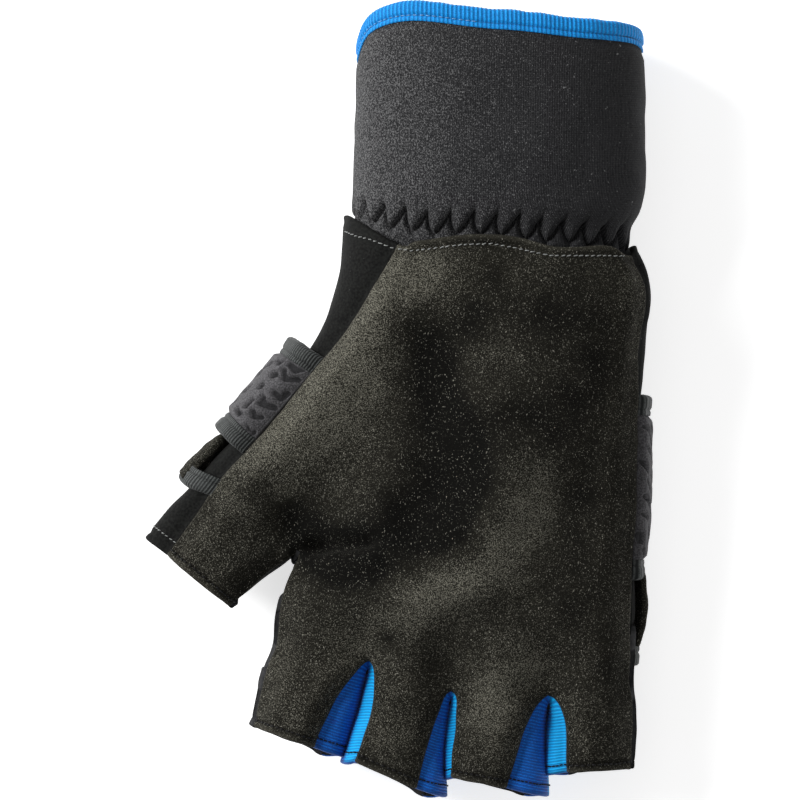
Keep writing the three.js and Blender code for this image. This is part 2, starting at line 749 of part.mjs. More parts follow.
// Binding tape folded over an edge: stations hold a place, the way out and the face normal
function addTape(name, kind, stations, edgeThickness, closed, flip) {
  const inside = edgeThickness / 2 + TAPE_GAP;
  const outside = inside + TAPE;
  const end = TAPE_GAP + TAPE;
  const pairs = [
    [[-TAPE_WIDTH, inside], [-TAPE_WIDTH, outside]],
    [[TAPE_GAP, inside], [TAPE_GAP + TAPE_SHOULDER * TAPE, outside]],
    [[TAPE_GAP, inside / 2], [end, outside * TAPE_CHAMFER]],
    [[TAPE_GAP, -inside / 2], [end, -outside * TAPE_CHAMFER]],
    [[TAPE_GAP, -inside], [TAPE_GAP + TAPE_SHOULDER * TAPE, -outside]],
    [[-TAPE_WIDTH, -inside], [-TAPE_WIDTH, -outside]],
  ];
  const body = new Body();
  const rings = stations.map(({ place, out, normal }) => {
    const corner = ([along, up]) => body.point(
      place.clone().addScaledVector(out, along).addScaledVector(normal, up));
    return pairs.map((pair) => pair.map(corner));
  });
  const quad = (a, b, c, d) => (flip ? body.quad(d, c, b, a) : body.quad(a, b, c, d));
  const count = closed ? rings.length : rings.length - 1;
  const lastPair = pairs.length - 1;
  for (let i = 0; i < count; i += 1) {
    const here = rings[i];
    const next = rings[(i + 1) % rings.length];
    for (let k = 0; k < lastPair; k += 1) {
      quad(here[k][1], next[k][1], next[k + 1][1], here[k + 1][1]);
      quad(here[k][0], here[k + 1][0], next[k + 1][0], next[k][0]);
    }
    quad(here[0][0], next[0][0], next[0][1], here[0][1]);
    quad(here[lastPair][1], next[lastPair][1], next[lastPair][0], here[lastPair][0]);
  }
  if (!closed) {
    const [first, last] = [rings[0], rings[rings.length - 1]];
    for (let k = 0; k < lastPair; k += 1) {
      quad(first[k][0], first[k][1], first[k + 1][1], first[k + 1][0]);
      quad(last[k][1], last[k][0], last[k + 1][0], last[k + 1][1]);
    }
  }
  body.add(name, kind);
}

// Place in a folded pocket: share runs from mouth to tip, u across it from -1 to 1, and level
// from -1 on the side against the glove to 1 on the outside, some way in from its surface
function inPocket(surface, side, size, shape, share, u, level, inset) {
  const hollow = fromTable(shape, "at", share, "hollow");
  const half = (size.high - size.low) / 2;
  const across = (size.low + size.high) / 2 + u * half * fromTable(shape, "at", share, "width");
  const centre = LAYER_GAP + size.wall + hollow / 2;
  const lift = centre + level * (hollow / 2 + size.wall - inset);
  return onBack(surface, side, THREE.MathUtils.lerp(size.mouth, size.tip, share), across, lift);
}

// How the thickness of a pocket falls to nothing at its two sides
function pocketRound(u) {
  return Math.pow(1 - Math.pow(Math.abs(u), POCKET_ROUNDNESS), 1 / POCKET_ROUNDNESS);
}

// Flat pocket folded back on the glove: two walls, joined at the sides and tip, open at the mouth
function addPocket(surface, side, size, shape, name, kind) {
  const body = new Body();
  const ring = (share, inset, reach) => {
    const names = [];
    for (let k = 0; k < 2 * size.sections; k += 1) {
      const over = (2 * k) / size.sections - 1;
      const u = k <= size.sections ? over : 2 - over;
      const level = (k <= size.sections ? 1 : -1) * pocketRound(u);
      names.push(body.point(inPocket(surface, side, size, shape, share, u * reach, level, inset).place));
    }
    return names;
  };
  const outer = [];
  const inner = [];
  for (let i = 0; i <= size.steps; i += 1) {
    outer.push(ring(i / size.steps, 0, 1));
    inner.push(ring((i / size.steps) * HOLLOW_LENGTH, size.wall, HOLLOW_REACH));
  }
  const flip = side.direction > 0;
  const quad = (a, b, c, d) => (flip ? body.quad(d, c, b, a) : body.quad(a, b, c, d));
  const around = outer[0].length;
  for (let i = 0; i < size.steps; i += 1) {
    for (let k = 0; k < around; k += 1) {
      const n = (k + 1) % around;
      quad(outer[i][k], outer[i][n], outer[i + 1][n], outer[i + 1][k]);
      quad(inner[i][k], inner[i + 1][k], inner[i + 1][n], inner[i][n]);
    }
  }
  for (let k = 0; k < around; k += 1) {
    const n = (k + 1) % around;
    quad(outer[0][n], outer[0][k], inner[0][k], inner[0][n]);
  }
  for (const [end, turned] of [[outer[size.steps], false], [inner[size.steps], true]]) {
    for (let k = 0; k < size.sections; k += 1) {
      const corners = [end[k], end[k + 1], end[(around - k - 1) % around], end[(around - k) % around]];
      const unique = [...new Set(corners)];
      if (turned) {
        unique.reverse();
      }
      if (flip) {
        unique.reverse();
      }
      body.triangles.push(unique[0], unique[1], unique[2]);
      if (unique.length === 4) {
        body.triangles.push(unique[0], unique[2], unique[3]);
      }
    }
  }
  body.add(name, kind);
}

// Point of the cuff at an angle and a height along the wrist, some way in from its outside
function cuffPoint(angle, y, inset) {
  const value = (name) => fromTable(CUFF_ROWS, "y", y, name);
  const turn = THREE.MathUtils.degToRad(angle);
  const bend = (number) => Math.sign(number) * Math.pow(Math.abs(number), 2 / CUFF_ROUNDNESS);
  const x = value("centre") + (value("half") - inset) * bend(Math.cos(turn));
  const z = value("mid") + (value("depth") - inset) * bend(Math.sin(turn));
  return new THREE.Vector3(x, y, Math.max(z, inset));
}

function addCuff() {
  const body = new Body();
  const rings = { outer: [], inner: [] };
  const full = [0, CUFF_WALL];
  const thin = [BAND_EDGE_LIFT - BOUND_EDGE / 2, BAND_EDGE_LIFT + BOUND_EDGE / 2];
  const levels = [
    ...CUFF_LEVELS.map((share) => ({
      insets: full, height: (foot, rim) => foot + (rim - CUFF_FULL_FROM - foot) * share,
    })),
    { insets: thin, height: (foot, rim) => rim - CUFF_THIN_FROM },
    { insets: thin, height: (foot, rim) => rim },
  ];
  for (const { insets, height } of levels) {
    Object.values(rings).forEach((list, side) => {
      const line = [];
      for (let k = 0; k < CUFF_SIDES; k += 1) {
        const angle = (360 * k) / CUFF_SIDES;
        const foot = fromTable(CUFF_EDGES, "angle", angle, "foot");
        const rim = fromTable(CUFF_EDGES, "angle", angle, "rim");
        line.push(body.point(cuffPoint(angle, height(foot, rim), insets[side])));
      }
      list.push(line);
    });
  }
  const top = levels.length - 1;
  for (let k = 0; k < CUFF_SIDES; k += 1) {
    const n = (k + 1) % CUFF_SIDES;
    for (let i = 0; i < top; i += 1) {
      body.quad(rings.outer[i][n], rings.outer[i][k], rings.outer[i + 1][k], rings.outer[i + 1][n]);
      body.quad(rings.inner[i][k], rings.inner[i][n], rings.inner[i + 1][n], rings.inner[i + 1][k]);
    }
    body.quad(rings.outer[0][k], rings.outer[0][n], rings.inner[0][n], rings.inner[0][k]);
    body.quad(rings.outer[top][n], rings.outer[top][k], rings.inner[top][k], rings.inner[top][n]);
  }
  body.add("cuff", "neoprene");
}

// Tapes on the wrist side and the finger side of a keeper band
function addBandTapes(surface, side, band, lifts, name) {
  const flip = side.direction > 0;
  for (const [ending, row, towards] of [["wrist", band.from, -1], ["tip", band.to, 1]]) {
    const stations = [];
    for (let j = 0; j <= band.sections; j += 1) {
      const across = THREE.MathUtils.lerp(band.low, band.high, j / band.sections);
      const lift = bandLift(lifts, across) + BAND_EDGE_LIFT;
      const { place, normal } = onBack(surface, side, row, across, lift);
      const reach = tapedRows(surface, side, row, towards, across);
      const inside = onBack(surface, side, row - towards * reach, across, lift).place;
      const out = place.clone().sub(inside).normalize();
      stations.push({ place, out, normal });
    }
    addTape(`${name}_${ending}`, "greyTape", stations, BOUND_EDGE, false, towards < 0 ? flip : !flip);
  }
}

// Tape on the outer lip of a folded pocket's mouth
function addMouthTape(surface, side, size, shape, name) {
  const stations = [];
  for (let k = 2; k < size.sections - 1; k += 1) {
    const u = (2 * k) / size.sections - 1;
    const lip = (share) => inPocket(surface, side, size, shape, share, u, pocketRound(u), size.wall / 2);
    const { place, normal } = lip(0);
    const out = place.clone().sub(lip(1 / size.steps).place).normalize();
    stations.push({ place, out, normal });
  }
  addTape(name, "greyTape", stations, size.wall + size.ease, false, side.direction < 0);
}

function addCuffBinding() {
  const stations = [];
  for (let k = 0; k < CUFF_SIDES; k += 1) {
    const angle = (360 * k) / CUFF_SIDES;
    const rim = fromTable(CUFF_EDGES, "angle", angle, "rim");
    const place = cuffPoint(angle, rim, BAND_EDGE_LIFT);
    const ahead = cuffPoint(angle + SLOPE_STEP, rim, BAND_EDGE_LIFT);
    const behind = cuffPoint(angle - SLOPE_STEP, rim, BAND_EDGE_LIFT);
    const normal = new THREE.Vector3(ahead.z - behind.z, 0, behind.x - ahead.x).normalize();
    const out = place.clone().sub(cuffPoint(angle, rim - TAPE_WIDTH, BAND_EDGE_LIFT)).normalize();
    stations.push({ place, out, normal });
  }
  addTape("cuff_binding", "blueTape", stations, BOUND_EDGE, true, true);
}

const surface = gloveSurface();
const paths = sidePaths();
const HAND_SIDE = {
  digit: "little", path: paths.find((path) => path.name === "right"),
  edge: LAST_COLUMN, direction: -1, lastRow: KNUCKLE_ROW,
};
const THUMB_SIDE = {
  digit: "thumb", path: paths.find((path) => path.name === "left"),
  edge: 0, direction: 1, lastRow: THUMB_TIP_ROW,
};

addCuff();
addCuffBinding();
addSheet(surface, "palm", "suede", SEAM_GAP);
addSheet(surface, "back_shell", "shell", SEAM_GAP);
addSheet(surface, "thumb_gusset", "shell", SEAM_GAP);
GAPS.forEach((gap) => addSheet(surface, gap.name, "blueKnit", KNIT_SEAM_GAP));
addPocket(surface, HAND_SIDE, HOOD, HOOD_SHAPE, "flip_hood", "suede");
addPocket(surface, THUMB_SIDE, CAP, CAP_SHAPE, "thumb_cap", "suede");
addBand(surface, HAND_SIDE, HAND_BAND, HAND_BAND_LIFT, "keeper_band");
addBand(surface, THUMB_SIDE, THUMB_BAND, THUMB_BAND_LIFT, "thumb_keeper_band");
addBandTapes(surface, HAND_SIDE, HAND_BAND, HAND_BAND_LIFT, "keeper_binding");
addBandTapes(surface, THUMB_SIDE, THUMB_BAND, THUMB_BAND_LIFT, "thumb_keeper_binding");
addMouthTape(surface, HAND_SIDE, HOOD, HOOD_SHAPE, "hood_binding");
addMouthTape(surface, THUMB_SIDE, CAP, CAP_SHAPE, "thumb_cap_binding");

export default group;
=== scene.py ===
# Flip-top sport glove, right hand, palm up: the fabric pieces, threads and materials.
# Tables are in millimetres, and every mesh is scaled to metres when it is made.
import math
import bmesh
import bpy
import numpy as np
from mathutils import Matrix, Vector, kdtree
from mathutils.bvhtree import BVHTree


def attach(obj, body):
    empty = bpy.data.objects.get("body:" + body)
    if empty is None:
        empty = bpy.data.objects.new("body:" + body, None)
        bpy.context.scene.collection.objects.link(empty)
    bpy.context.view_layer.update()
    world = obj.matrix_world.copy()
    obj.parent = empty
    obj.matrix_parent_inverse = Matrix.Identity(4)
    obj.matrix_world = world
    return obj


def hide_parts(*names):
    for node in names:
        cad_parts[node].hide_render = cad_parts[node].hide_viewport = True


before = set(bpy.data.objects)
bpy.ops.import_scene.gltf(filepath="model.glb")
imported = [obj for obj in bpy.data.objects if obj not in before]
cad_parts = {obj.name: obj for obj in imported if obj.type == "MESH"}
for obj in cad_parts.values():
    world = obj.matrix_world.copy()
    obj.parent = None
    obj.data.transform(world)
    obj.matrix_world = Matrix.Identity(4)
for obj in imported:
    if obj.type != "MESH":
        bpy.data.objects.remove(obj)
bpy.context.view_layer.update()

MM = 0.001
SHELL_WALL = 1.8
SEAM_GAP = 0.1
SEAM_TUCK = 0.5
SEAM_SINK = 0.35
HEM_BULGE = 0.5
SEWN_BULGE = 0.08
ABOVE_ALL = 80
CUFF_WALL = 2.6
BOUND_EDGE = 1.4
BAND_THICK = 3.0
BAND_EDGE_LIFT = 1.3
TAPE = 0.7
TAPE_GAP = 0.3
TAPE_WIDTH = 4.8
TAPE_CROWN = 0.35
TAPE_ROLL = 0.32
GROOVE_SHARE = 0.66
PIT_PITCH = (5.4, 5.0)
PIT_STRAY = 0.8
PIT_SLOPE = 0.5
PIT_DEPTH = 1.8
LAYER_GAP = 0.8
HOOD_WALL = 1.7
CAP_WALL = 1.4
FLAT_HOLLOW = 0.5
FINGER_CLEARANCE = 0.5
BACK_INSET = 7
WEB_INSET = 5
CORNER_LIFT = 1.2
SMOOTH_LEVELS = 3
UV_SIDE_STEP = 7.0
TAPE_GIRTH = 14
THREAD_SINK = 0.15
GREY_RIB = 0.8

# Columns across the front and rows from the wrist hem to the open ends, as in the solid model
THUMB_COLUMNS = 5
LAST_COLUMN = 21
CROTCH_ROW = 8
KNUCKLE_ROW = 13
TIP_ROW = 18
THUMB_TIP_ROW = 13
SIDE_STEPS = 4
CORNERS = [(0, 0), (1, 0), (1, 1), (0, 1)]
GAP_DEPTH = 1.8
GAP_MID = 19
END_REACH = {-1: 2.6, 0: 0, 1: 0.9}

OUTLINE = {
    "hem": [(-0.9, 43.6), (6.2, 44.6), (17.6, 46.3), (32.7, 45.7), (45, 42.9), (60, 43.2), (66.6, 40.8)],
    "outer_thumb": [(-0.9, 43.6), (-12.5, 24), (-29.4, 2.7), (-53.4, -24.7)],
    "outer_hand": [(66.6, 40.8), (69.9, 33), (69.6, 24), (68.8, 12), (68.3, 2), (67.9, -14), (67.5, -33)],
    "thumb_root": [(-53.4, -24.7), (-41.5, -34.5), (-29.4, -44.3)],
    "middle_palm": [(-29.4, -44.3), (20, -40), (67.5, -33)],
    "index_root": [(-29.4, -44.3), (-34.3, -57), (-35.5, -69.5)],
    "little_root": [(67.5, -33), (66.2, -58), (66.3, -80)],
}
KNUCKLES = [(-35.5, -69.5), (-8.8, -74.4), (14.6, -83.2), (42.3, -84.4), (66.3, -80)]

DIGITS = {
    "thumb": dict(first=0, columns=5, root=8, tip=13, crest=34.5, back=11, left_z=29, right_z=26,
                  left=[(-53.4, -24.7), (-59.5, -34), (-66.5, -43.5)],
                  right=[(-29.4, -44.3), (-37.5, -49.6), (-48, -59)]),
    "index": dict(first=5, columns=4, root=13, tip=18, crest=32, back=9, left_z=20, right_z=29,
                  left=[(-35.5, -69.5), (-39.7, -80.5), (-42.6, -92.5)],
                  right=[(-8.8, -74.4), (-15.9, -82), (-24, -98.8)]),
    "middle": dict(first=9, columns=4, root=13, tip=18, crest=33, back=9, left_z=30, right_z=30,
                   left=[(-8.8, -74.4), (-7.6, -84), (-13.2, -102.5)],
                   right=[(14.6, -83.2), (10.4, -91.3), (5.1, -110.4)]),
    "ring": dict(first=13, columns=4, root=13, tip=18, crest=33, back=9, left_z=29, right_z=30,
                 left=[(14.6, -83.2), (15.4, -90), (13.9, -107)],
                 right=[(42.3, -84.4), (37, -91.5), (30.7, -110.2)]),
    "little": dict(first=17, columns=4, root=13, tip=18, crest=31, back=9, left_z=28.5, right_z=22,
                   left=[(42.3, -84.4), (46.3, -90), (47, -105.8)],
                   right=[(66.3, -80), (66.9, -92), (66.6, -104.8)]),
}

HAND_ROWS = {
    "row": [0, 2, 4, 6, 8, 10, 11, 13, 18],
    "crest": [45.6, 45, 43.5, 42, 41, 39.5, 38.8, 37, 33],
    "left": [41, 36, 32.5, 30.5, 29, 26, 25, 23, 20],
    "right": [31, 30, 28.5, 28, 27, 26, 25.3, 24, 22],
    "web": [0, 0.5, 3, 7, 11.5, 0, 0, 0, 0],
    "knuckle": [0, 0, 0, 0, 0, 0.6, 1.6, 5.5, 0],
    "back": [0.4, 5.6, 8.6, 8.6, 8.6, 9.4, 11.3, 12.4, 9],
}
OUTER_LEFT = {
    "at": [0, 1, 2, 3, 4.5, 6, 8, 10.5, 13], "out": [17.2, 12.4, 9, 5.8, 3.7, 3.9, 5, 6.8, 7.7],
    "mid": [23, 23, 23, 22.5, 22, 21.5, 21, 21, 21],
}
OUTER_RIGHT = {
    "at": [0, 1.5, 3, 4.5, 9.5, 11, 12.6, 15, 18], "out": [1, 1.3, 1, 0.2, 0, 0.8, -1.8, -1.4, -2],
    "mid": [22, 21, 20, 20, 20, 19, 19, 18.5, 18], "lift": [2.6, 0.6, 0, 0, 0, 0, 0, 0, 0],
}
THUMB_WEB = {
    "at": [-5, -1, 0, 1, 5, 10], "out": [-0.7, 0, 0.4, -0.6, -1.7, -2.6], "mid": [20, 20, 20, 19, 18, 16],
}

GAPS = {
    "fourchette_index_middle": dict(column=9, left="index", right="middle",
                                    line=dict(y=[76.4, 84.8, 94.2, 106], x=[-8.9, -10.9, -13.7, -17.4])),
    "fourchette_middle_ring": dict(column=13, left="middle", right="ring",
                                   line=dict(y=[84.8, 92, 100, 114], x=[14.6, 13.4, 12.8, 13.2])),
    "fourchette_ring_little": dict(column=17, left="ring", right="little",
                                   line=dict(y=[86, 91, 97, 114], x=[42.3, 41.9, 41.5, 42])),
}

CUFF_ROWS = {
    "y": [36, 43, 49, 55, 66, 90, 100, 115],
    "centre": [26.5, 25.9, 26.1, 28.1, 28.4, 28.6, 28.6, 28.4],
    "half": [36.2, 37.6, 38.6, 40.1, 41.2, 40.7, 40.3, 39.8],
    "mid": [22.6, 22.6, 22.6, 22.6, 22.6, 22.6, 22.8, 23],
    "depth": [18.4, 18.6, 19.2, 22, 23.2, 23, 22, 21.4],
}
CUFF_ROUNDNESS = 2.5
CUFF_EDGES = {
    "angle": [0, 22, 45, 65, 90, 125, 155, 180, 215, 270, 360],
    "rim": [103.8, 106, 106.9, 107.7, 109.8, 112.3, 109, 101.4, 102, 105, 103.8],
    "foot": [35, 36, 37, 38.5, 40, 41, 42, 43, 42, 39, 35],
}
# Height of the upper points of the gathers round the cuff
GATHERS = {
    "angle": [0, 30, 45, 60, 75, 90, 105, 120, 135, 150, 180, 215, 270, 320, 360],
    "apex": [46.5, 48, 48.8, 49.8, 50.3, 51.8, 51.7, 52.8, 54.2, 55.6, 56.2, 54.5, 51, 48, 46.5],
}
# How far the gathers' lower points hang, and how their fabric stands off the zigzag seam
GATHER_FALL = 4.9
GATHER_COUNT = 30
GATHER_PUFF = 2.1
GATHER_TOOTH = 0.55
GATHER_VALLEY = 0.8
SEAM_ABOVE = 0.95
SEAM_BELOW = 1.35
# Rows of the cuff's mesh: below, in and above the gathers, which reach so far from their upper
# points, and then by distance from the rim
CUFF_AROUND = 600
FOOT_ROWS = 5
GATHER_ROWS = 44
UPPER_ROWS = 26
GATHER_REACH = (-7.5, 7)
RIM_ROWS = (6.4, 5.6, 3, 0)
UPPER_END = 7.4
BINDING_AROUND = 1100
CUFF_MIDDLE = [27, 0, 22.6]
# Angles between which the thread on the cuff's binding shows
BINDING_STITCHES = (96, 172)

# The two bands that hold the folded pockets down: rows of the back's lattice where they start and
# end, columns where they are sewn on, and how high they stand at places across it
HAND_BAND = dict(start=4.4, end=9.85, low=-4.1, high=13.8, bulge=0.9, columns=250, rows=86, seed=41,
                 at=[-4.1, -3.6, -3, -2, -0.8, 0, 12.1, 13.8],
                 lift=[-2.6, -1.3, -0.9, -0.7, 3.8, 5.6, 5.6, 0.9])
THUMB_BAND = dict(start=3.6, end=6.74, low=-4.1, high=4.4, bulge=0.9, columns=190, rows=78, seed=51,
                  at=[-4.1, -3.8, -3.4, -2.9, -2.3, -1.5, 0, 2.9, 4.4],
                  lift=[-2.4, -0.4, 1.4, 2.6, 3.4, 4.4, 5.2, 5.2, 0.9])
# The two folded pockets: their edges by share of their length from the mouth, and the way their
# bindings run
HOOD = dict(mouth=12.35, tip=2.3, slant=0.05, flare=0, wall=HOOD_WALL, ease=0.8,
            stations=800, rows=72, around=140, seed=21, shape={
    "at": [0, 0.03, 0.07, 0.12, 0.2, 0.275, 0.31, 0.7, 0.9, 1],
    "low": [-1.4, -1.7, -2, -2.1, -2.1, -1.7, 0.4, 0.8, 2.2, 4],
    "high": [14.4, 14.4, 14.4, 14.3, 13.8, 13, 11.8, 11.4, 10, 8.1],
    "hollow": [6.7, 6.4, 6, 5.5, 4, 2, 0.5, 0.5, 0.5, 0.4]}, binding={
    "at": range(10),
    "across": [-2.4, -1.8, -1.1, 0.2, 2.2, 4, 7, 10, 12, 13.4],
    "lift": [-1.6, 1, 2.6, 4.8, 8.4, 10.2, 10.9, 10.2, 8, 4.6],
    "row": [0.05, 0.05, 0.05, 0.04, 0.03, 0.02, 0, 0, 0, 0]})
CAP = dict(mouth=7.8, tip=3.9, slant=0.9, flare=0.4, wall=CAP_WALL, ease=0.2,
           stations=320, rows=46, around=110, seed=31, shape={
    "at": [0, 0.1, 0.2, 0.34, 0.43, 0.7, 0.86, 1],
    "low": [-2.7, -2.6, -2.5, -2.3, -1.6, -1.4, -1, -0.6],
    "high": [2.5, 2.5, 2.5, 2.5, 2.3, 2.2, 1.6, 1],
    "hollow": [2.3, 2.6, 2.8, 2.2, 0.6, 0.5, 0.5, 0.4]}, binding={
    "at": range(9),
    "across": [-3.95, -3.6, -3.2, -2.6, -1.6, -0.4, 0.8, 2, 2.8],
    "lift": [-1.6, -0.1, 0.8, 1.7, 2.8, 4.2, 4.6, 3.4, 1],
    "row": [0.4, 0.55, 0.75, 0.9, 0.7, 0.1, 0, 0, 0]})
# Painted light and shade on the suede palm: dark bands where its valleys and creases lie in shade, light
# ones along its lit ridges, by tone (dark below zero), width and line seen from above
PAINTED_SHADING = [
    (-1.2, 9, [(8, 18), (12, 4), (18, -10), (20, -22), (13, -33), (0, -37)]),
    (-0.9, 6.5, [(24, 29), (21, 24), (18, 17)]),
    (-0.8, 8, [(6, -15), (14, -24), (6, -34)]),
    (-0.4, 6, [(47, -12), (48, -34), (47, -56)]),
    (-1.3, 3.5, [(-4, -65), (-3, -69)]),
    (-0.8, 4, [(-23, -44), (-16, -46), (-3, -47)]),
    (-0.4, 5, [(-40, -17), (-37, -20)]),
    (1.3, 7, [(-2, 38), (5, 35), (11, 30)]),
    (0.7, 4, [(9, 40), (20, 39)]),
    (0.6, 5, [(-25, -7), (-16, -10)]),
    (0.4, 4, [(66, 36), (67, 0)]),
    (-0.5, 4, [(-47, -27), (-42, -22)]),
    (0.6, 5, [(31, -51), (34, -56)]),
    (0.6, 5, [(38, -73), (39, -78)]),
    (-2.0, 2.4, [(-29, -43), (-22, -41.2), (-13, -40), (-3, -39)]),
    (-0.9, 8, [(-34, -28), (-24, -38), (-19, -50)]),
    (-0.6, 8, [(-12, -40), (-7, -54)]),
    (-0.55, 12, [(52, 42), (54, 10), (53, -24), (52, -56)]),
    (-0.4, 13, [(20, 33), (36, 30), (52, 22)]),
    (-0.4, 8, [(24, -8), (36, -4), (46, 0)]),
    (-0.4, 6, [(58, -60), (60, -80), (58, -98)]),
    (1.0, 11, [(-4, 40), (-14, 20), (-30, -2), (-48, -24)]),
    (0.5, 9, [(-4, 16), (-18, -6), (-30, -20)]),
    (1.0, 7.5, [(46, -20), (37, -35), (22, -50), (5, -58), (-12, -68)]),
    (0.4, 6, [(16, 6), (28, 12), (36, 14)]),
    (0.5, 7, [(-34, -74), (-32, -88)]),
    (0.45, 7, [(-6, -86), (-4, -100)]),
    (0.8, 8, [(28, -76), (24, -96)]),
    (0.4, 7, [(56, -84), (54, -100)]),
    (0.2, 7, [(-60, -36), (-55, -44)]),
    (-0.5, 6, [(-49, -55), (-38, -46)]),
    (-1.2, 7, [(2, -34), (9, -37), (4, -42)]),
]
# Painted light on the cuff: its colour falls from light on the left to dark on the right across this place
# in X, over this half width
CUFF_PAINTED_SHADING = (24, 46)

# Folds of the suede palm, by depth (a ridge below zero), width and line seen from above
FOLDS = [
    (5.5, 2.0, [(-29, -43), (-22, -41.2), (-13.7, -40.2), (-5, -39.8)]),
    (-1.4, 3.4, [(-24, -47), (-18, -45.8), (-11, -44.8), (-4, -43.4)]),
    (4.6, 10.5, [(16, 34), (11, 12), (8, -8), (9, -22), (2, -34), (-8, -40)]),
    (-2.6, 8, [(28, -6), (31, -18), (30, -30), (20, -42)]),
    (-1.5, 9, [(-24, -70), (-2, -62), (20, -53), (36, -45)]),
    (1.6, 8, [(62, -14), (52, -26), (42, -36), (36, -48)]),
    (-1.8, 10, [(-32, -20), (-22, -28), (-12, -30)]),
    (1.0, 4, [(16, -62), (34, -58), (50, -49)]),
    (1.6, 5, [(-42, -20), (-33, -29), (-26, -38)]),
    (0.8, 3, [(-50, -32), (-43, -38), (-38, -44)]),
    (1.2, 6, [(58, 34), (60, 10), (59, -12)]),
]


# Value of one column of a table at places in its first column, on a smooth curve
def from_table(table, place, column):
    keys = np.array(next(iter(table.values())), float)
    values = np.array(table[column], float)
    last = len(keys) - 1
    at = np.clip(place, keys[0], keys[-1])
    i = np.clip(np.searchsorted(keys, at) - 1, 0, last - 1)
    before = np.maximum(i - 1, 0)
    after = np.minimum(i + 2, last)
    width = keys[i + 1] - keys[i]
    rise = values[i + 1] - values[i]
    bend_a = (values[i + 1] - values[before]) / (keys[i + 1] - keys[before]) * width - rise
    bend_b = rise - (values[after] - values[i]) / (keys[after] - keys[i]) * width
    t = (at - keys[i]) / width
    return values[i] + t * rise + t * (1 - t) * ((1 - t) * bend_a + t * bend_b)


# Length along rows of points, from their first point
def lengths_along(points, axis=0):
    steps = np.linalg.norm(np.diff(points, axis=axis), axis=-1)
    zero = np.zeros_like(np.take(steps, [0], axis=axis))
    return np.concatenate([zero, np.cumsum(steps, axis=axis)], axis=axis)


# Points or vectors at places along a line whose lengths are known
def at_length(place, along, values):
    return np.stack([np.interp(place, along, column) for column in values.T], axis=-1)


def unit(vectors):
    return vectors / np.maximum(np.linalg.norm(vectors, axis=-1, keepdims=True), 1e-12)


def bell(distance, width):
    return np.exp(-(distance / width)**2)


def smoothstep(x, low, high):
    t = np.clip((x - low) / (high - low), 0, 1)
    return t * t * (3 - 2 * t)


def fade_ends(share, over):
    return smoothstep(share, 0, over) * smoothstep(1 - share, 0, over)


# Centripetal curve through points in plan, as a function of the share of its length
def curve_through(points):
    p = np.array(points, float)
    p = np.vstack([2 * p[0] - p[1], p, 2 * p[-1] - p[-2]])
    t = np.linspace(0, 1, 80, endpoint=False)[:, None]
    dense = []
    for i in range(1, len(p) - 2):
        p0, p1, p2, p3 = p[i - 1:i + 3]
        d0, d1, d2 = (math.sqrt(np.linalg.norm(b - a)) for a, b in ((p0, p1), (p1, p2), (p2, p3)))
        t1 = ((p1 - p0) / d0 - (p2 - p0) / (d0 + d1) + (p2 - p1) / d1) * d1
        t2 = ((p2 - p1) / d1 - (p3 - p1) / (d1 + d2) + (p3 - p2) / d2) * d1
        dense.append(p1 + t1 * t + (3 * (p2 - p1) - 2 * t1 - t2) * t**2 + (2 * (p1 - p2) + t1 + t2) * t**3)
    dense = np.vstack(dense + [p[-2:-1]])
    lengths = lengths_along(dense)
    return lambda share: np.append(at_length(share * lengths[-1], lengths, dense), 0.0)


def arch(share, power):
    u = min(abs(2 * share - 1), 1)
    return (1 - u**power)**(1 / power)


# Unevenness of about one wavelength and mostly between -1 and 1, the same on every run
def ripple(points, wavelength, seed):
    rng = np.random.default_rng(seed)
    waves = 22
    directions = unit(rng.normal(size=(waves, 3)))
    stretch = rng.uniform(0.7, 1.5, waves)
    phase = rng.uniform(0, 2 * math.pi, waves)
    angle = points @ (directions * stretch[:, None]).T * (2 * math.pi / wavelength) + phase
    return np.sin(angle).sum(axis=1) / math.sqrt(waves)


# Painted light and shade of the palm at places in plan, over a little random tone, from -1 where it is
# dark to 1 where it is light
def painted_shading_tone(points):
    tone = 0.22 * ripple(points, 30, 61) + 0.12 * ripple(points, 12, 62)
    for strength, width, line in PAINTED_SHADING:
        gap, share = off_line(points, line)
        tone = tone + strength * bell(gap, width) * (0.5 + 0.5 * fade_ends(share, 0.2))
    return np.clip(tone, -1, 1)


# The hand in plan, as a patch between four curves
CURVES = {name: curve_through(line) for name, line in OUTLINE.items()}


def patch(top, bottom, left, right, u, v):
    sides = (1 - v) * top(u) + v * bottom(u) + (1 - u) * left(v) + u * right(v)
    corners = ((1 - u) * (1 - v) * top(0) + u * (1 - v) * top(1)
               + (1 - u) * v * bottom(0) + u * v * bottom(1))
    return sides - corners


def hand_plan(row, column):
    palm_share = (column - THUMB_COLUMNS) / (LAST_COLUMN - THUMB_COLUMNS)
    if row <= CROTCH_ROW:
        def bottom(u):
            place = u * LAST_COLUMN
            if place <= THUMB_COLUMNS:
                return CURVES["thumb_root"](place / THUMB_COLUMNS)
            return CURVES["middle_palm"]((place - THUMB_COLUMNS) / (LAST_COLUMN - THUMB_COLUMNS))
        return patch(CURVES["hem"], bottom, CURVES["outer_thumb"], CURVES["outer_hand"],
                     column / LAST_COLUMN, row / CROTCH_ROW)

    def knuckles(u):
        places = np.linspace(0, 1, len(KNUCKLES))
        x, y = (np.interp(u, places, [point[axis] for point in KNUCKLES]) for axis in (0, 1))
        return np.array([x, y, 0.0])
    return patch(CURVES["middle_palm"], knuckles, CURVES["index_root"], CURVES["little_root"],
                 palm_share, (row - CROTCH_ROW) / (KNUCKLE_ROW - CROTCH_ROW))


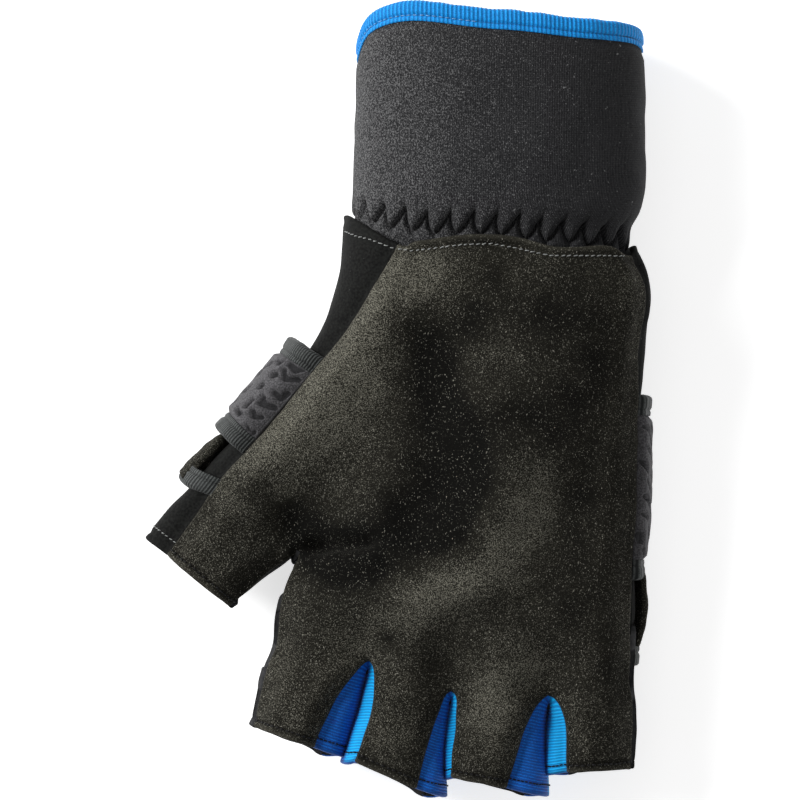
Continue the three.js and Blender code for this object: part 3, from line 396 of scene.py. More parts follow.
def hand_height(row, column):
    def value(name):
        return float(from_table(HAND_ROWS, row, name))

    def whole(first):
        share = (column - first) / (LAST_COLUMN - first)
        edge = value("left") + (value("right") - value("left")) * share
        return edge + (value("crest") - edge) * arch(share, 2.4)
    past = float(smoothstep(row, CROTCH_ROW, CROTCH_ROW + 3))
    height = whole(0)
    if past > 0:
        height = height * (1 - past) + whole(THUMB_COLUMNS) * past
    web = float(from_table(HAND_ROWS, min(row, CROTCH_ROW), "web")) * (1 - past)
    height -= web * bell(column - THUMB_COLUMNS, 2.2)
    for gap in GAPS.values():
        height -= value("knuckle") * bell(column - gap["column"], 1.2)
    return height


def part_of(digit, row):
    return digit if row > DIGITS[digit]["root"] else "hand"


def back_height(part, row):
    if part == "hand":
        return float(from_table(HAND_ROWS, row, "back"))
    digit = DIGITS[part]
    root = float(from_table(HAND_ROWS, digit["root"], "back"))
    return root + (digit["back"] - root) * (row - digit["root"]) / (digit["tip"] - digit["root"])


# Stations down one side of a digit, and round the gap between two digits
def down(digit, column, first_row):
    size = DIGITS[digit]
    return [dict(part=part_of(digit, row), row=row, column=column,
                 end=(row - size["root"]) / (size["tip"] - size["root"]))
            for row in range(first_row, size["tip"] + 1)]


def between(a, b, column, root):
    return down(a, column, root + 1)[::-1] + down(b, column, root)


PATHS = {
    "left": dict(piece="back_shell", table=OUTER_LEFT, stations=down("thumb", 0, 0)),
    "right": dict(piece="back_shell", table=OUTER_RIGHT, stations=down("little", LAST_COLUMN, 0)[::-1]),
    "web": dict(piece="thumb_gusset", table=THUMB_WEB, crotch=THUMB_TIP_ROW - CROTCH_ROW,
                stations=between("thumb", "index", THUMB_COLUMNS, CROTCH_ROW)),
}
for name, gap in GAPS.items():
    PATHS[name] = dict(piece=name, gap=gap, crotch=TIP_ROW - KNUCKLE_ROW,
                       stations=between(gap["left"], gap["right"], gap["column"], KNUCKLE_ROW))


def side_name(path, index, step):
    station = PATHS[path]["stations"][index]
    if step in (0, SIDE_STEPS):
        return ("front" if step == 0 else "back", station["part"], station["row"], station["column"])
    return ("side", path, index, step)


# Every named point of the glove's surface, and its faces with the piece that each belongs to
def glove_cage():
    points = {}
    faces = []
    for row in range(KNUCKLE_ROW + 1):
        for column in range(0 if row <= CROTCH_ROW else THUMB_COLUMNS, LAST_COLUMN + 1):
            point = hand_plan(row, column)
            point[2] = hand_height(row, column)
            points["front", "hand", row, column] = point
    for name, digit in DIGITS.items():
        place_digit(points, name, digit)
    for name, path in PATHS.items():
        place_side(points, name, path)
    for row in range(KNUCKLE_ROW + 1):
        fill_back(points, "hand", row, 0 if row <= CROTCH_ROW else THUMB_COLUMNS, LAST_COLUMN)
    for name, digit in DIGITS.items():
        for row in range(digit["root"] + 1, digit["tip"] + 1):
            fill_back(points, name, row, digit["first"], digit["first"] + digit["columns"])
    for name, path in PATHS.items():
        finish_side(points, name, path)

    for name, path in PATHS.items():
        for i in range(len(path["stations"]) - 1):
            for step in range(SIDE_STEPS):
                faces.append((path["piece"], [side_name(name, i + d, step + a) for a, d in CORNERS]))

    def quads(row, column, part, after):
        for side, piece in (("front", "palm"), ("back", "back_shell")):
            names = [(side, after if d else part, row + d, column + a) for d, a in CORNERS]
            faces.append((piece, names if side == "front" else names[::-1]))
    for row in range(KNUCKLE_ROW):
        for column in range(0 if row < CROTCH_ROW else THUMB_COLUMNS, LAST_COLUMN):
            quads(row, column, "hand", "hand")
    for name, digit in DIGITS.items():
        for row in range(digit["root"], digit["tip"]):
            for column in range(digit["first"], digit["first"] + digit["columns"]):
                quads(row, column, part_of(name, row), name)
    return points, faces


def place_digit(points, name, digit):
    columns = digit["columns"]
    left, right = curve_through(digit["left"]), curve_through(digit["right"])
    root = [points["front", "hand", digit["root"], digit["first"] + c] for c in range(columns + 1)]
    root_bulge = root[round(columns / 2 + 0.01)][2] - (root[0][2] + root[-1][2]) / 2
    end_bulge = digit["crest"] - (digit["left_z"] + digit["right_z"]) / 2
    for row in range(digit["root"] + 1, digit["tip"] + 1):
        t = (row - digit["root"]) / (digit["tip"] - digit["root"])
        a, b = left(t), right(t)
        a[2] = root[0][2] + (digit["left_z"] - root[0][2]) * t
        b[2] = root[-1][2] + (digit["right_z"] - root[-1][2]) * t
        bulge = root_bulge + (end_bulge - root_bulge) * t
        for c in range(columns + 1):
            point = a + (b - a) * c / columns
            point[2] += bulge * arch(c / columns, 2.2)
            points["front", name, row, digit["first"] + c] = point


# Widest point of a side strip, and the corner where it turns under to the back
def place_side(points, name, path):
    count = len(path["stations"])
    for i, station in enumerate(path["stations"]):
        here = points[side_name(name, i, 0)]
        before = points[side_name(name, max(i - 1, 0), 0)]
        after = points[side_name(name, min(i + 1, count - 1), 0)]
        outward = unit(np.array([after[1] - before[1], before[0] - after[0], 0.0]))
        widest = here.copy()
        step = i - path.get("crotch", 0)
        inset = BACK_INSET
        if "gap" in path:
            side = np.sign(step)
            widest[1] -= GAP_DEPTH if step == 0 else END_REACH[int(side)] * max(station["end"], 0)
            widest[0] = from_table(path["gap"]["line"], -widest[1], "x") + side * FINGER_CLEARANCE
            widest[2] = GAP_MID
            outward = np.array([-side, 0.0, 0.0])
            inset = WEB_INSET * smoothstep(abs(step), 0, 3)
        else:
            place = step if name == "web" else station["row"]
            widest += outward * from_table(path["table"], place, "out")
            widest[2] = from_table(path["table"], place, "mid")
            if "lift" in path["table"]:
                widest[1] += from_table(path["table"], place, "lift")
            if name == "web":
                inset = WEB_INSET * smoothstep(abs(step), 0, 3)
        points[side_name(name, i, SIDE_STEPS // 2)] = widest
        if path.get("crotch") != i:
            corner = widest - outward * inset
            corner[2] = back_height(station["part"], station["row"]) + CORNER_LIFT
            points[side_name(name, i, SIDE_STEPS)] = corner


def fill_back(points, part, row, first, last):
    shift = [(points["back", part, row, column] - points["front", part, row, column]) * (1, 1, 0)
             for column in (first, last)]
    for column in range(first + 1, last):
        share = (column - first) / (last - first)
        point = points["front", part, row, column] + shift[0] + (shift[1] - shift[0]) * share
        point[2] = back_height(part, row)
        points["back", part, row, column] = point


def finish_side(points, name, path):
    middle = SIDE_STEPS // 2
    turn = math.sqrt(0.5)
    for i in range(len(path["stations"])):
        widest = points[side_name(name, i, middle)]
        for end in (0, SIDE_STEPS):
            edge = points[side_name(name, i, end)]
            point = edge + (widest - edge) * turn
            point[2] = widest[2] + (edge[2] - widest[2]) * turn
            points[side_name(name, i, (middle + end) // 2)] = point


# Mesh helpers
def vertex_normals(points, faces):
    normals = np.zeros_like(points)
    cross = np.cross(points[faces[:, 2]] - points[faces[:, 0]], points[faces[:, 3]] - points[faces[:, 1]])
    for k in range(faces.shape[1]):
        np.add.at(normals, faces[:, k], cross)
    return unit(normals)


def values_of(items, name, shape, kind=float):
    width = shape[-1] if kind is float else 1
    values = np.empty(len(items) * width, kind)
    items.foreach_get(name, values)
    return values.reshape(shape)


def subdivided(points, faces, marks, uvs, levels):
    mesh = bpy.data.meshes.new("cage")
    mesh.from_pydata(points.tolist(), [], faces.tolist())
    mesh.polygons.foreach_set("material_index", marks)
    mesh.uv_layers.new(name="uv").data.foreach_set("uv", uvs.ravel())
    cage = bpy.data.objects.new("cage", mesh)
    bpy.context.scene.collection.objects.link(cage)
    smooth = cage.modifiers.new("smooth", "SUBSURF")
    smooth.levels = levels
    smooth.render_levels = levels
    smooth.quality = 4
    fine = cage.evaluated_get(bpy.context.evaluated_depsgraph_get()).to_mesh()
    found = [values_of(fine.vertices, "co", (-1, 3)), values_of(fine.loops, "vertex_index", (-1, 4), int),
             values_of(fine.polygons, "material_index", (-1,), int),
             values_of(fine.uv_layers[0].data, "uv", (-1, 2)).reshape(-1, 4, 2)]
    bpy.data.objects.remove(cage)
    bpy.data.meshes.remove(mesh)
    return found


def wrapped(rows):
    return np.concatenate([rows, rows[:, :1]], axis=1)


def pairs(a, b):
    return np.stack(np.broadcast_arrays(a, b), axis=-1)


# A mesh being built from grids of points, with a material and surface coordinates for each face
class Builder:
    def __init__(self):
        self.points, self.faces, self.uvs, self.marks, self.wear, self.painted_shading = [], [], [], [], [], []
        self.count = 0

    # Each point also carries two values for the materials: edge wear with painted highlights and painted
    # shade in grooves and pits, and painted light and shade
    def add(self, points, wear=0.0, painted_shading=0.0):
        shape = points.shape[:-1]
        flat = points.reshape(-1, 3)
        start = self.count
        self.points.append(flat)
        self.wear.append(np.broadcast_to(np.asarray(wear, float), shape).ravel())
        self.painted_shading.append(np.broadcast_to(np.asarray(painted_shading, float), shape).ravel())
        self.count += len(flat)
        return np.arange(start, self.count).reshape(shape)

    def quads(self, faces, uvs, mark=0):
        self.faces.append(faces)
        self.uvs.append(uvs)
        self.marks.append(np.full(len(faces), mark))

    def grid(self, names, uv=None, mark=0, wrap=False):
        if wrap:
            names = wrapped(names)
        if uv is None:
            uv = np.zeros(names.shape + (2,))
        pick = [(slice(None, -1), slice(None, -1)), (slice(1, None), slice(None, -1)),
                (slice(1, None), slice(1, None)), (slice(None, -1), slice(1, None))]
        faces = np.stack([names[p].ravel() for p in pick], axis=1)
        corners = np.stack([uv[p].reshape(-1, 2) for p in pick], axis=1)
        self.quads(faces, corners, mark)

    # Closes a ring of an even number of points
    def cap(self, ring, mark=0):
        half = len(ring) // 2
        self.grid(np.stack([ring[:half], ring[::-1][:half]]), mark=mark)

    def mesh(self, name):
        mesh = bpy.data.meshes.new(name)
        points = np.vstack(self.points) * MM
        points[:, 2] = np.maximum(points[:, 2], 0.0)
        mesh.from_pydata(points.tolist(), [], np.vstack(self.faces).tolist())
        mesh.polygons.foreach_set("material_index", np.concatenate(self.marks))
        mesh.uv_layers.new(name="mm").data.foreach_set("uv", np.vstack(self.uvs).ravel())
        # Both values go to the materials as point attributes: wear with painted highlight and shade, and
        # painted light and shade
        for shade, values in (("wear", self.wear), ("painted_shading", self.painted_shading)):
            mesh.attributes.new(shade, "FLOAT", "POINT").data.foreach_set("value", np.concatenate(values))
        mesh.polygons.foreach_set("use_smooth", np.ones(len(mesh.polygons), bool))
        bm = bmesh.new()
        bm.from_mesh(mesh)
        bmesh.ops.recalc_face_normals(bm, faces=bm.faces)
        bm.to_mesh(mesh)
        bm.free()
        return mesh


def add_piece(name, builder, materials, slot, *nodes):
    piece = bpy.data.objects.new(name, builder.mesh(name))
    bpy.context.scene.collection.objects.link(piece)
    for material in materials:
        piece.data.materials.append(material)
    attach(piece, "root")
    if nodes:
        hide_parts(*nodes)


# Materials, all from nodes
class Nodes:
    def __init__(self, name):
        self.material = bpy.data.materials.new(name)
        self.material.use_nodes = True
        self.tree = self.material.node_tree
        self.shader = self.tree.nodes["Principled BSDF"]
        self.coordinates = self.tree.nodes.new("ShaderNodeTexCoord")

    def node(self, kind, values=(), links=()):
        made = self.tree.nodes.new("ShaderNode" + kind)
        for key, value in dict(values).items():
            if isinstance(key, str) and hasattr(made, key):
                setattr(made, key, value)
            else:
                made.inputs[key].default_value = value
        for key, source in dict(links).items():
            self.tree.links.new(source, made.inputs[key])
        return made

    def stretched(self, scale, turn):
        return self.node("Mapping", {"Scale": scale, "Rotation": turn},
                         {"Vector": self.coordinates.outputs["Object"]}).outputs[0]

    def noise(self, scale, detail=2.0, vector=None, rough=0.5):
        source = vector if vector is not None else self.coordinates.outputs["Object"]
        return self.node("TexNoise", {"Scale": scale, "Detail": detail, "Roughness": rough},
                         {"Vector": source}).outputs["Fac"]

    def ramp(self, value, low, high, start=0.0, end=1.0):
        return self.node("MapRange", {"From Min": low, "From Max": high, "To Min": start, "To Max": end,
                                      "interpolation_type": "SMOOTHSTEP"}, {"Value": value}).outputs[0]

    def math(self, kind, a, b=None, value=None):
        if b is None:
            return self.node("Math", {"operation": kind, 1: value}, {0: a}).outputs[0]
        return self.node("Math", {"operation": kind}, {0: a, 1: b}).outputs[0]

    def mix(self, share, a, b):
        made = self.node("Mix", {"data_type": "RGBA"})
        self.tree.links.new(share, made.inputs["Factor"])
        for socket, source in ((made.inputs[6], a), (made.inputs[7], b)):
            if isinstance(source, tuple):
                socket.default_value = (*source, 1.0)
            else:
                self.tree.links.new(source, socket)
        return made.outputs[2]

    # Tints a colour where a value climbs from low to high, up to a share
    def tint(self, base, value, low, high, share, colour):
        return self.mix(self.ramp(value, low, high, 0.0, share), base, colour)

    def wave(self, pitch, axis):
        split = self.node("SeparateXYZ", {}, {0: self.coordinates.outputs["UV"]})
        turns = self.math("MULTIPLY", split.outputs[axis], value=2 * math.pi / pitch)
        return self.math("SINE", turns, value=0)

    def attribute(self, name):
        return self.node("Attribute", {"attribute_name": name}).outputs["Fac"]

    def bump(self, height, strength, distance, below=None):
        links = {"Height": height}
        if below is not None:
            links["Normal"] = below
        return self.node("Bump", {"Strength": strength, "Distance": distance}, links).outputs[0]

    def finish(self, colour, normal, roughness, sheen=0.0, sheen_tint=(1, 1, 1), gloss=0.25):
        self.tree.links.new(colour, self.shader.inputs["Base Color"])
        self.tree.links.new(normal, self.shader.inputs["Normal"])
        self.shader.inputs["Roughness"].default_value = roughness
        self.shader.inputs["Specular IOR Level"].default_value = gloss
        self.shader.inputs["Sheen Weight"].default_value = sheen
        self.shader.inputs["Sheen Roughness"].default_value = 0.45
        self.shader.inputs["Sheen Tint"].default_value = (*sheen_tint, 1)
        return self.material


def suede():
    m = Nodes("suede")
    painted_shading = m.attribute("painted_shading")
    # Painted light: more pale specks show where the painted shading is light, fewer where it is dark
    painted_light_shift = m.math("MULTIPLY", painted_shading, value=0.1)
    grain = m.math("ADD", m.noise(3300, 2), painted_light_shift)
    coarse = m.math("ADD", m.noise(1500, 3), painted_light_shift)
    base = m.tint((0.0095, 0.009, 0.007), m.noise(60, 3), 0.3, 0.75, 0.5, (0.015, 0.014, 0.0105))
    # Painted shade: near-black where the painted shading is dark
    base = m.tint(base, painted_shading, -0.2, -1.1, 0.9, (0.003, 0.003, 0.0026))
    base = m.tint(base, coarse, 0.5, 0.74, 0.5, (0.062, 0.060, 0.047))
    base = m.tint(base, grain, 0.585, 0.69, 0.95, (0.165, 0.159, 0.130))
    for turn, scale in (((0, 0, 0.5), (1, 0.6, 1)), ((0, 0, -0.9), (1, 0.5, 1))):
        fibre = m.noise(3000, 1, m.stretched(scale, turn))
        base = m.tint(base, fibre, 0.70, 0.76, 0.8, (0.34, 0.33, 0.28))
    # Lighter along seams, hems and rolled edges: rubbed wear with a painted highlight on the edges
    base = m.tint(base, m.attribute("wear"), 0.3, 1.0, 0.25, (0.065, 0.061, 0.048))
    normal = m.bump(m.noise(700, 4, rough=0.65), 0.5, 0.0006)
    normal = m.bump(m.noise(170, 2), 0.35, 0.0012, normal)
    return m.finish(base, normal, 0.95, 0.03, (0.75, 0.72, 0.62), 0.08)


def plain_cloth(name, dark, light, scale, sheen=0.05, gloss=0.25):
    m = Nodes(name)
    weave = m.noise(scale, 2)
    base = m.mix(m.ramp(weave, 0.3, 0.7), dark, light)
    base = m.tint(base, m.noise(45, 3), 0.4, 0.8, 0.4, light)
    base = m.tint(base, m.noise(1100, 1), 0.76, 0.80, 0.5, (0.08, 0.08, 0.08))
    normal = m.bump(weave, 0.3, 0.0003)
    normal = m.bump(m.noise(110, 3), 0.25, 0.001, normal)
    return m.finish(base, normal, 0.85, sheen, gloss=gloss)


def neoprene():
    m = Nodes("neoprene_jersey")
    wale = m.ramp(m.wave(0.46, 0), -1, 1)
    course = m.ramp(m.wave(0.62, 1), -1, 1)
    knit = m.math("MULTIPLY", wale, m.math("ADD", m.math("MULTIPLY", course, value=0.35), value=0.65))
    base = m.mix(knit, (0.006, 0.006, 0.007), (0.042, 0.042, 0.044))
    base = m.tint(base, m.noise(60, 3), 0.35, 0.75, 0.25, (0.026, 0.026, 0.028))
    # Painted light: more pale loops on the cuff's lit left side, fewer on its shaded right side
    painted_light_shift = m.math("MULTIPLY", m.attribute("painted_shading"), value=0.12)
    loops = m.math("ADD", m.noise(3600, 2, m.stretched((1, 0.6, 1), (0, 0, 0))), painted_light_shift)
    base = m.tint(base, loops, 0.54, 0.67, 0.9, (0.140, 0.140, 0.142))
    base = m.tint(base, m.noise(1700, 1), 0.5, 0.3, 0.7, (0.006, 0.006, 0.007))
    base = m.tint(base, m.noise(900, 1), 0.75, 0.79, 0.8, (0.20, 0.20, 0.20))
    normal = m.bump(knit, 0.35, 0.0002)
    normal = m.bump(m.noise(240, 3), 0.22, 0.0008, normal)
    return m.finish(base, normal, 0.85, 0.05, gloss=0.15)


def ribbed(name, dark, light, pitch, accent=None, painted_lit=None):
    m = Nodes(name)
    rib = m.ramp(m.wave(pitch, 0), -0.8, 1)
    grain = m.noise(1400, 2)
    base = m.mix(rib, dark, light)
    base = m.tint(base, grain, 0.4, 0.8, 0.5, dark)
    base = m.tint(base, m.noise(3000, 1), 0.5, 0.35, 0.55, tuple(0.5 * value for value in dark))
    if accent is not None:
        base = m.tint(base, m.noise(330, 2), 0.55, 0.75, 0.35, accent)
    # Painted light: the side of a strip that faces the light is mixed towards a bright copy of the colour
    if painted_lit is not None:
        lit = m.math("MULTIPLY", m.ramp(m.attribute("painted_shading"), 0.0, 1.0), m.ramp(rib, 0, 1, 0.5, 1.0))
        base = m.mix(lit, base, painted_lit)
    # Painted shade: darker where the mesh marks stitch grooves, seams and rolled edges
    base = m.tint(base, m.attribute("wear"), 0.4, 1.0, 0.55, tuple(0.3 * value for value in dark))
    normal = m.bump(rib, 0.55, 0.0003)
    normal = m.bump(grain, 0.3, 0.0002, normal)
    return m.finish(base, normal, 0.68, 0.1)


def embossed():
    m = Nodes("embossed_neoprene")
    knit = m.ramp(m.wave(0.5, 0), -1, 1)
    base = m.mix(m.ramp(m.noise(2400, 2), 0.35, 0.65), (0.048, 0.047, 0.049), (0.110, 0.107, 0.113))
    # Painted shade: darker in the pressed pits
    base = m.tint(base, m.attribute("wear"), 0.1, 0.9, 0.8, (0.012, 0.012, 0.013))
    normal = m.bump(knit, 0.25, 0.0002)
    normal = m.bump(m.noise(900, 2), 0.35, 0.0003, normal)
    return m.finish(base, normal, 0.85, 0.06, gloss=0.15)


def thread(name, colour):
    m = Nodes(name)
    twist = m.noise(1800, 2)
    dark = tuple(0.45 * value for value in colour)
    return m.finish(m.mix(m.ramp(twist, 0.3, 0.65), dark, colour), m.bump(twist, 0.4, 0.0002), 0.6)


SUEDE = suede()
SHELL = plain_cloth("shell_cloth", (0.005, 0.005, 0.005), (0.0135, 0.014, 0.013), 1500, 0.0, 0.1)
LINING = plain_cloth("lining", (0.010, 0.010, 0.011), (0.024, 0.024, 0.026), 900)
NEOPRENE = neoprene()
BLUE_TAPE = ribbed("blue_tape", (0.002, 0.20, 0.60), (0.003, 0.35, 0.88), 1.2)
# The last colour of the blue knit is a painted lit copy of the blue, for the strip sides that face the
# light
BLUE_KNIT = ribbed("blue_knit", (0.002, 0.07, 0.36), (0.003, 0.17, 0.70), 0.85, (0.02, 0.035, 0.34),
                   (0.002, 0.48, 1.0))
EMBOSSED = embossed()
GREY_TAPE = ribbed("grey_tape", (0.014, 0.016, 0.016), (0.088, 0.095, 0.092), 0.7)
PALE_THREAD = thread("pale_thread", (0.34, 0.35, 0.34))
DARK_THREAD = thread("dark_thread", (0.006, 0.006, 0.006))
BLUE_THREAD = thread("blue_thread", (0.22, 0.50, 0.85))

# The glove: a smooth surface through all the named points
SHEETS = {
    "palm": ((SUEDE, LINING), "suede"), "back_shell": ((SHELL, LINING), "shell_black"),
    "thumb_gusset": ((SHELL, LINING), "shell_black"),
    **{name: ((BLUE_KNIT, LINING), "knit_blue") for name in GAPS},
}
PIECES = list(SHEETS)


def glove_surface():
    points, faces = glove_cage()
    names = list(points)
    index = {name: i for i, name in enumerate(names)}
    places = np.array([points[name] for name in names])
    quads = np.array([[index[name] for name in corners] for _, corners in faces])
    marks = np.array([PIECES.index(piece) for piece, _ in faces])
    uvs = np.zeros((len(quads), 4, 2))
    face = 0
    for name, path in PATHS.items():
        middle = [points[side_name(name, i, SIDE_STEPS // 2)] for i in range(len(path["stations"]))]
        along = lengths_along(middle)
        for i in range(len(middle) - 1):
            for step in range(SIDE_STEPS):
                uvs[face] = [(along[i + d], UV_SIDE_STEP * (step + a)) for a, d in CORNERS]
                face += 1
    uvs[face:] = places[quads[face:]][:, :, :2]
    target = places.copy()
    for _ in range(3):
        fine = subdivided(places, quads, marks, uvs, 1)[0]
        places += target - fine[:len(places)]
    normals = vertex_normals(target, quads)
    lattice = {name: (target[i], normals[i]) for name, i in index.items()}
    return lattice, subdivided(places, quads, marks, uvs, SMOOTH_LEVELS)


LATTICE, (GLOVE, QUADS, MARKS, UVS) = glove_surface()


def nearest(points, targets):
    tree = kdtree.KDTree(len(targets))
    for i, target in enumerate(targets):
        tree.insert(target, i)
    tree.balance()
    return np.array([tree.find(point)[2] for point in points])


# Distance from points in plan to a broken line, and the share of its length there
def off_line(points, line):
    line = np.array(line, float)
    best = np.full(len(points), 1e9)
    share = np.zeros(len(points))
    for i in range(len(line) - 1):
        a, b = line[i], line[i + 1]
        t = np.clip((points[:, :2] - a) @ (b - a) / ((b - a) @ (b - a)), 0, 1)
        gap = np.linalg.norm(points[:, :2] - a - t[:, None] * (b - a), axis=1)
        closer = gap < best
        best[closer] = gap[closer]
        share[closer] = (i + t[closer]) / (len(line) - 1)
    return best, share


# The two ends of each edge that only one face has
def open_edges(quads, size):
    a = quads.ravel()
    b = np.roll(quads, -1, axis=1).ravel()
    lone = ~np.isin(b * size + a, a * size + b)
    return a[lone], b[lone]


# Seam valleys, hem grooves, folds and unevenness of the whole glove
def shaped_glove():
    size = len(GLOVE)
    owners = np.zeros((size, len(PIECES)), bool)
    for k in range(4):
        owners[QUADS[:, k], MARKS] = True
    on_seam = owners.sum(axis=1) > 1
    on_rim = np.zeros(size, bool)
    on_rim[np.concatenate(open_edges(QUADS, size))] = True
    seam = nearest(GLOVE, GLOVE[on_seam])
    rim = nearest(GLOVE, GLOVE[on_rim])
    normals = vertex_normals(GLOVE, QUADS)
    palm = owners[:, PIECES.index("palm")]
    blue = owners[:, -len(GAPS):].any(axis=1)

    # Seams and the ridge or dip beside them, puckers, fullness of the blue strips, and hems
    move = -0.5 * bell(seam, 0.8)
    move += np.where(palm, 0.3 * bell(seam - 1.6, 1.1), -0.75 * bell(seam - 1.2, 1.6))
    move += 0.18 * bell(seam, 7) * ripple(GLOVE, 9, 4) * (1 - bell(seam, 2))
    move += np.where(blue, 0.9 * (1 - bell(seam, 4)), 0)
    move += -0.35 * bell(rim - 1.9, 0.6) * ~blue
    move += np.where(palm, 0.2, 0.08) * bell(rim, 5) * ripple(GLOVE, 11, 8)
    for length, on_palm, elsewhere, seed in ((26, 0.34, 0.2, 1), (9, 0.12, 0.06, 2)):
        move += np.where(palm, on_palm, elsewhere) * ripple(GLOVE, length, seed)
    front = smoothstep(normals[:, 2], 0.0, 0.5) * palm
    for depth, width, line in FOLDS:
        gap, share = off_line(GLOVE, line)
        move -= front * depth * bell(gap, width) * (0.25 + 0.75 * fade_ends(share, 0.25))
    shape = GLOVE + normals * move[:, None]
    return shape, vertex_normals(shape, QUADS), seam, rim, on_rim


SHAPE, NORMALS, SEAM_DISTANCE, RIM_DISTANCE, ON_RIM = shaped_glove()
SURFACE = BVHTree.FromPolygons(SHAPE.tolist(), QUADS.tolist())


def make_sheet(name):
    kept = MARKS == PIECES.index(name)
    used, local = np.unique(QUADS[kept], return_inverse=True)
    quads = local.reshape(-1, 4)
    outer = SHAPE[used].copy()
    normals = NORMALS[used]
    a, b = open_edges(quads, len(used))
    rim_points = np.unique(a)
    middles = outer[quads].mean(axis=1)
    pull = np.zeros_like(outer)
    for k in range(4):
        np.add.at(pull, quads[:, k], middles - outer[quads[:, k]])
    pull -= normals * (pull * normals).sum(axis=1)[:, None]
    pull = unit(pull)
    tuck = SEAM_GAP if name == "palm" else -SEAM_TUCK
    sewn = ~ON_RIM[used][rim_points]
    sink = 0.0 if name == "palm" else SEAM_SINK
    outer[rim_points] += (pull[rim_points] * tuck - normals[rim_points] * sink) * sewn[:, None]
    builder = Builder()
    # Edge values for the materials: lighter rubbed wear with a painted highlight on the suede edges,
    # painted shade along the seams and hems of the blue strips
    wear_and_light_marks = bell(SEAM_DISTANCE[used], 0.9) + bell(RIM_DISTANCE[used], 0.9)
    painted_shading = 0.0
    if name == "palm":
        # Painted light and shade on the palm, with painted shade along the hem groove
        painted_shading = painted_shading_tone(outer) - 0.6 * bell(RIM_DISTANCE[used] - 1.8, 0.7)
    if name in GAPS:
        # Painted light on the blue strips: light on the side of each gap that faces the light, dark on the
        # side that faces away
        painted_shading = np.clip((outer[:, 0] - from_table(GAPS[name]["line"], -outer[:, 1], "x")) / 0.8, -1, 1)
    top = builder.add(outer, np.clip(wear_and_light_marks, 0, 1), painted_shading)
    low = builder.add(outer - normals * SHELL_WALL)
    uvs = UVS[kept]
    builder.quads(top[quads], uvs)
    builder.quads(low[quads][:, ::-1], uvs[:, ::-1], 1)
    bulge = np.where(sewn, SEWN_BULGE, HEM_BULGE)[:, None]
    ring = {point: i for i, point in enumerate(rim_points)}
    start = np.array([ring[i] for i in a])
    stop = np.array([ring[i] for i in b])
    rings = [top[rim_points]]
    for angle in (50, 15, -15, -50):
        turn = math.radians(angle)
        place = outer[rim_points] - normals[rim_points] * SHELL_WALL / 2 * (1 - math.sin(turn))
        # The rolled edges get a high edge value too: wear with a painted highlight on the suede, painted
        # shade on the blue strips
        rings.append(builder.add(place - pull[rim_points] * bulge * math.cos(turn), 0.8))
    rings.append(low[rim_points])
    rim_uv = np.zeros((len(a), 4, 2))
    for upper, lower in zip(rings, rings[1:]):
        builder.quads(np.stack([upper[stop], upper[start], lower[start], lower[stop]], axis=1), rim_uv)
    materials, slot = SHEETS[name]
    add_piece(name, builder, materials, slot, name)


for name in PIECES:
    make_sheet(name)


# The back of the glove as a smooth lattice, for the layers that lie on it
def back_lattice(path, edge, direction, digit, last_row, last_across):
    places, normals = [], []
    stations = PATHS[path]["stations"]
    for row in range(last_row + 1):
        index = row if path == "left" else len(stations) - 1 - row
        names = [side_name(path, index, SIDE_STEPS + q) for q in range(-SIDE_STEPS, 0)]
        names += [("back", part_of(digit, row), row, edge + direction * q) for q in range(last_across + 1)]
        places.append([LATTICE[name][0] for name in names])
        normals.append([LATTICE[name][1] for name in names])
    return np.array(places), np.array(normals)


HAND_BACK = back_lattice("right", LAST_COLUMN, -1, "little", KNUCKLE_ROW, 15)
THUMB_BACK = back_lattice("left", 0, 1, "thumb", THUMB_TIP_ROW, THUMB_COLUMNS)


# The four lattice lines round each place, and the weight of each on a smooth curve
def weights(place, last):
    i = np.clip(np.floor(place).astype(int), 0, last - 1)
    t = place - i
    w = [-t / 2 + t**2 - t**3 / 2, 1 - 2.5 * t**2 + 1.5 * t**3,
         t / 2 + 2 * t**2 - 1.5 * t**3, (t**3 - t**2) / 2]
    return [(np.clip(i + k - 1, 0, last), w[k]) for k in range(4)]


# Places lifted off a back's lattice, and the normals there
def on_back(back, row, across, lift):
    row, across, lift = np.broadcast_arrays(row, across, lift)
    places, normals = back
    rows = weights(row, places.shape[0] - 1)
    columns = weights(across + SIDE_STEPS, places.shape[1] - 1)
    place = np.zeros(row.shape + (3,))
    normal = np.zeros(row.shape + (3,))
    for i, wi in rows:
        for j, wj in columns:
            place += (wi * wj)[..., None] * places[i, j]
            normal += (wi * wj)[..., None] * normals[i, j]
    normal = unit(normal)
    return place + normal * lift[..., None], normal


def band_lift(band, across):
    return sum(np.interp(across + shift, band["at"], band["lift"]) for shift in (-0.3, -0.1, 0.1, 0.3)) / 4


# How thin a band is pressed where its two ends are sewn down
def end_squeeze(band, across):
    low_end = smoothstep(across, band["low"], band["low"] + 0.7)
    high_end = smoothstep(band["high"] - across, 0, 0.6)
    return 0.35 + 0.65 * low_end * high_end


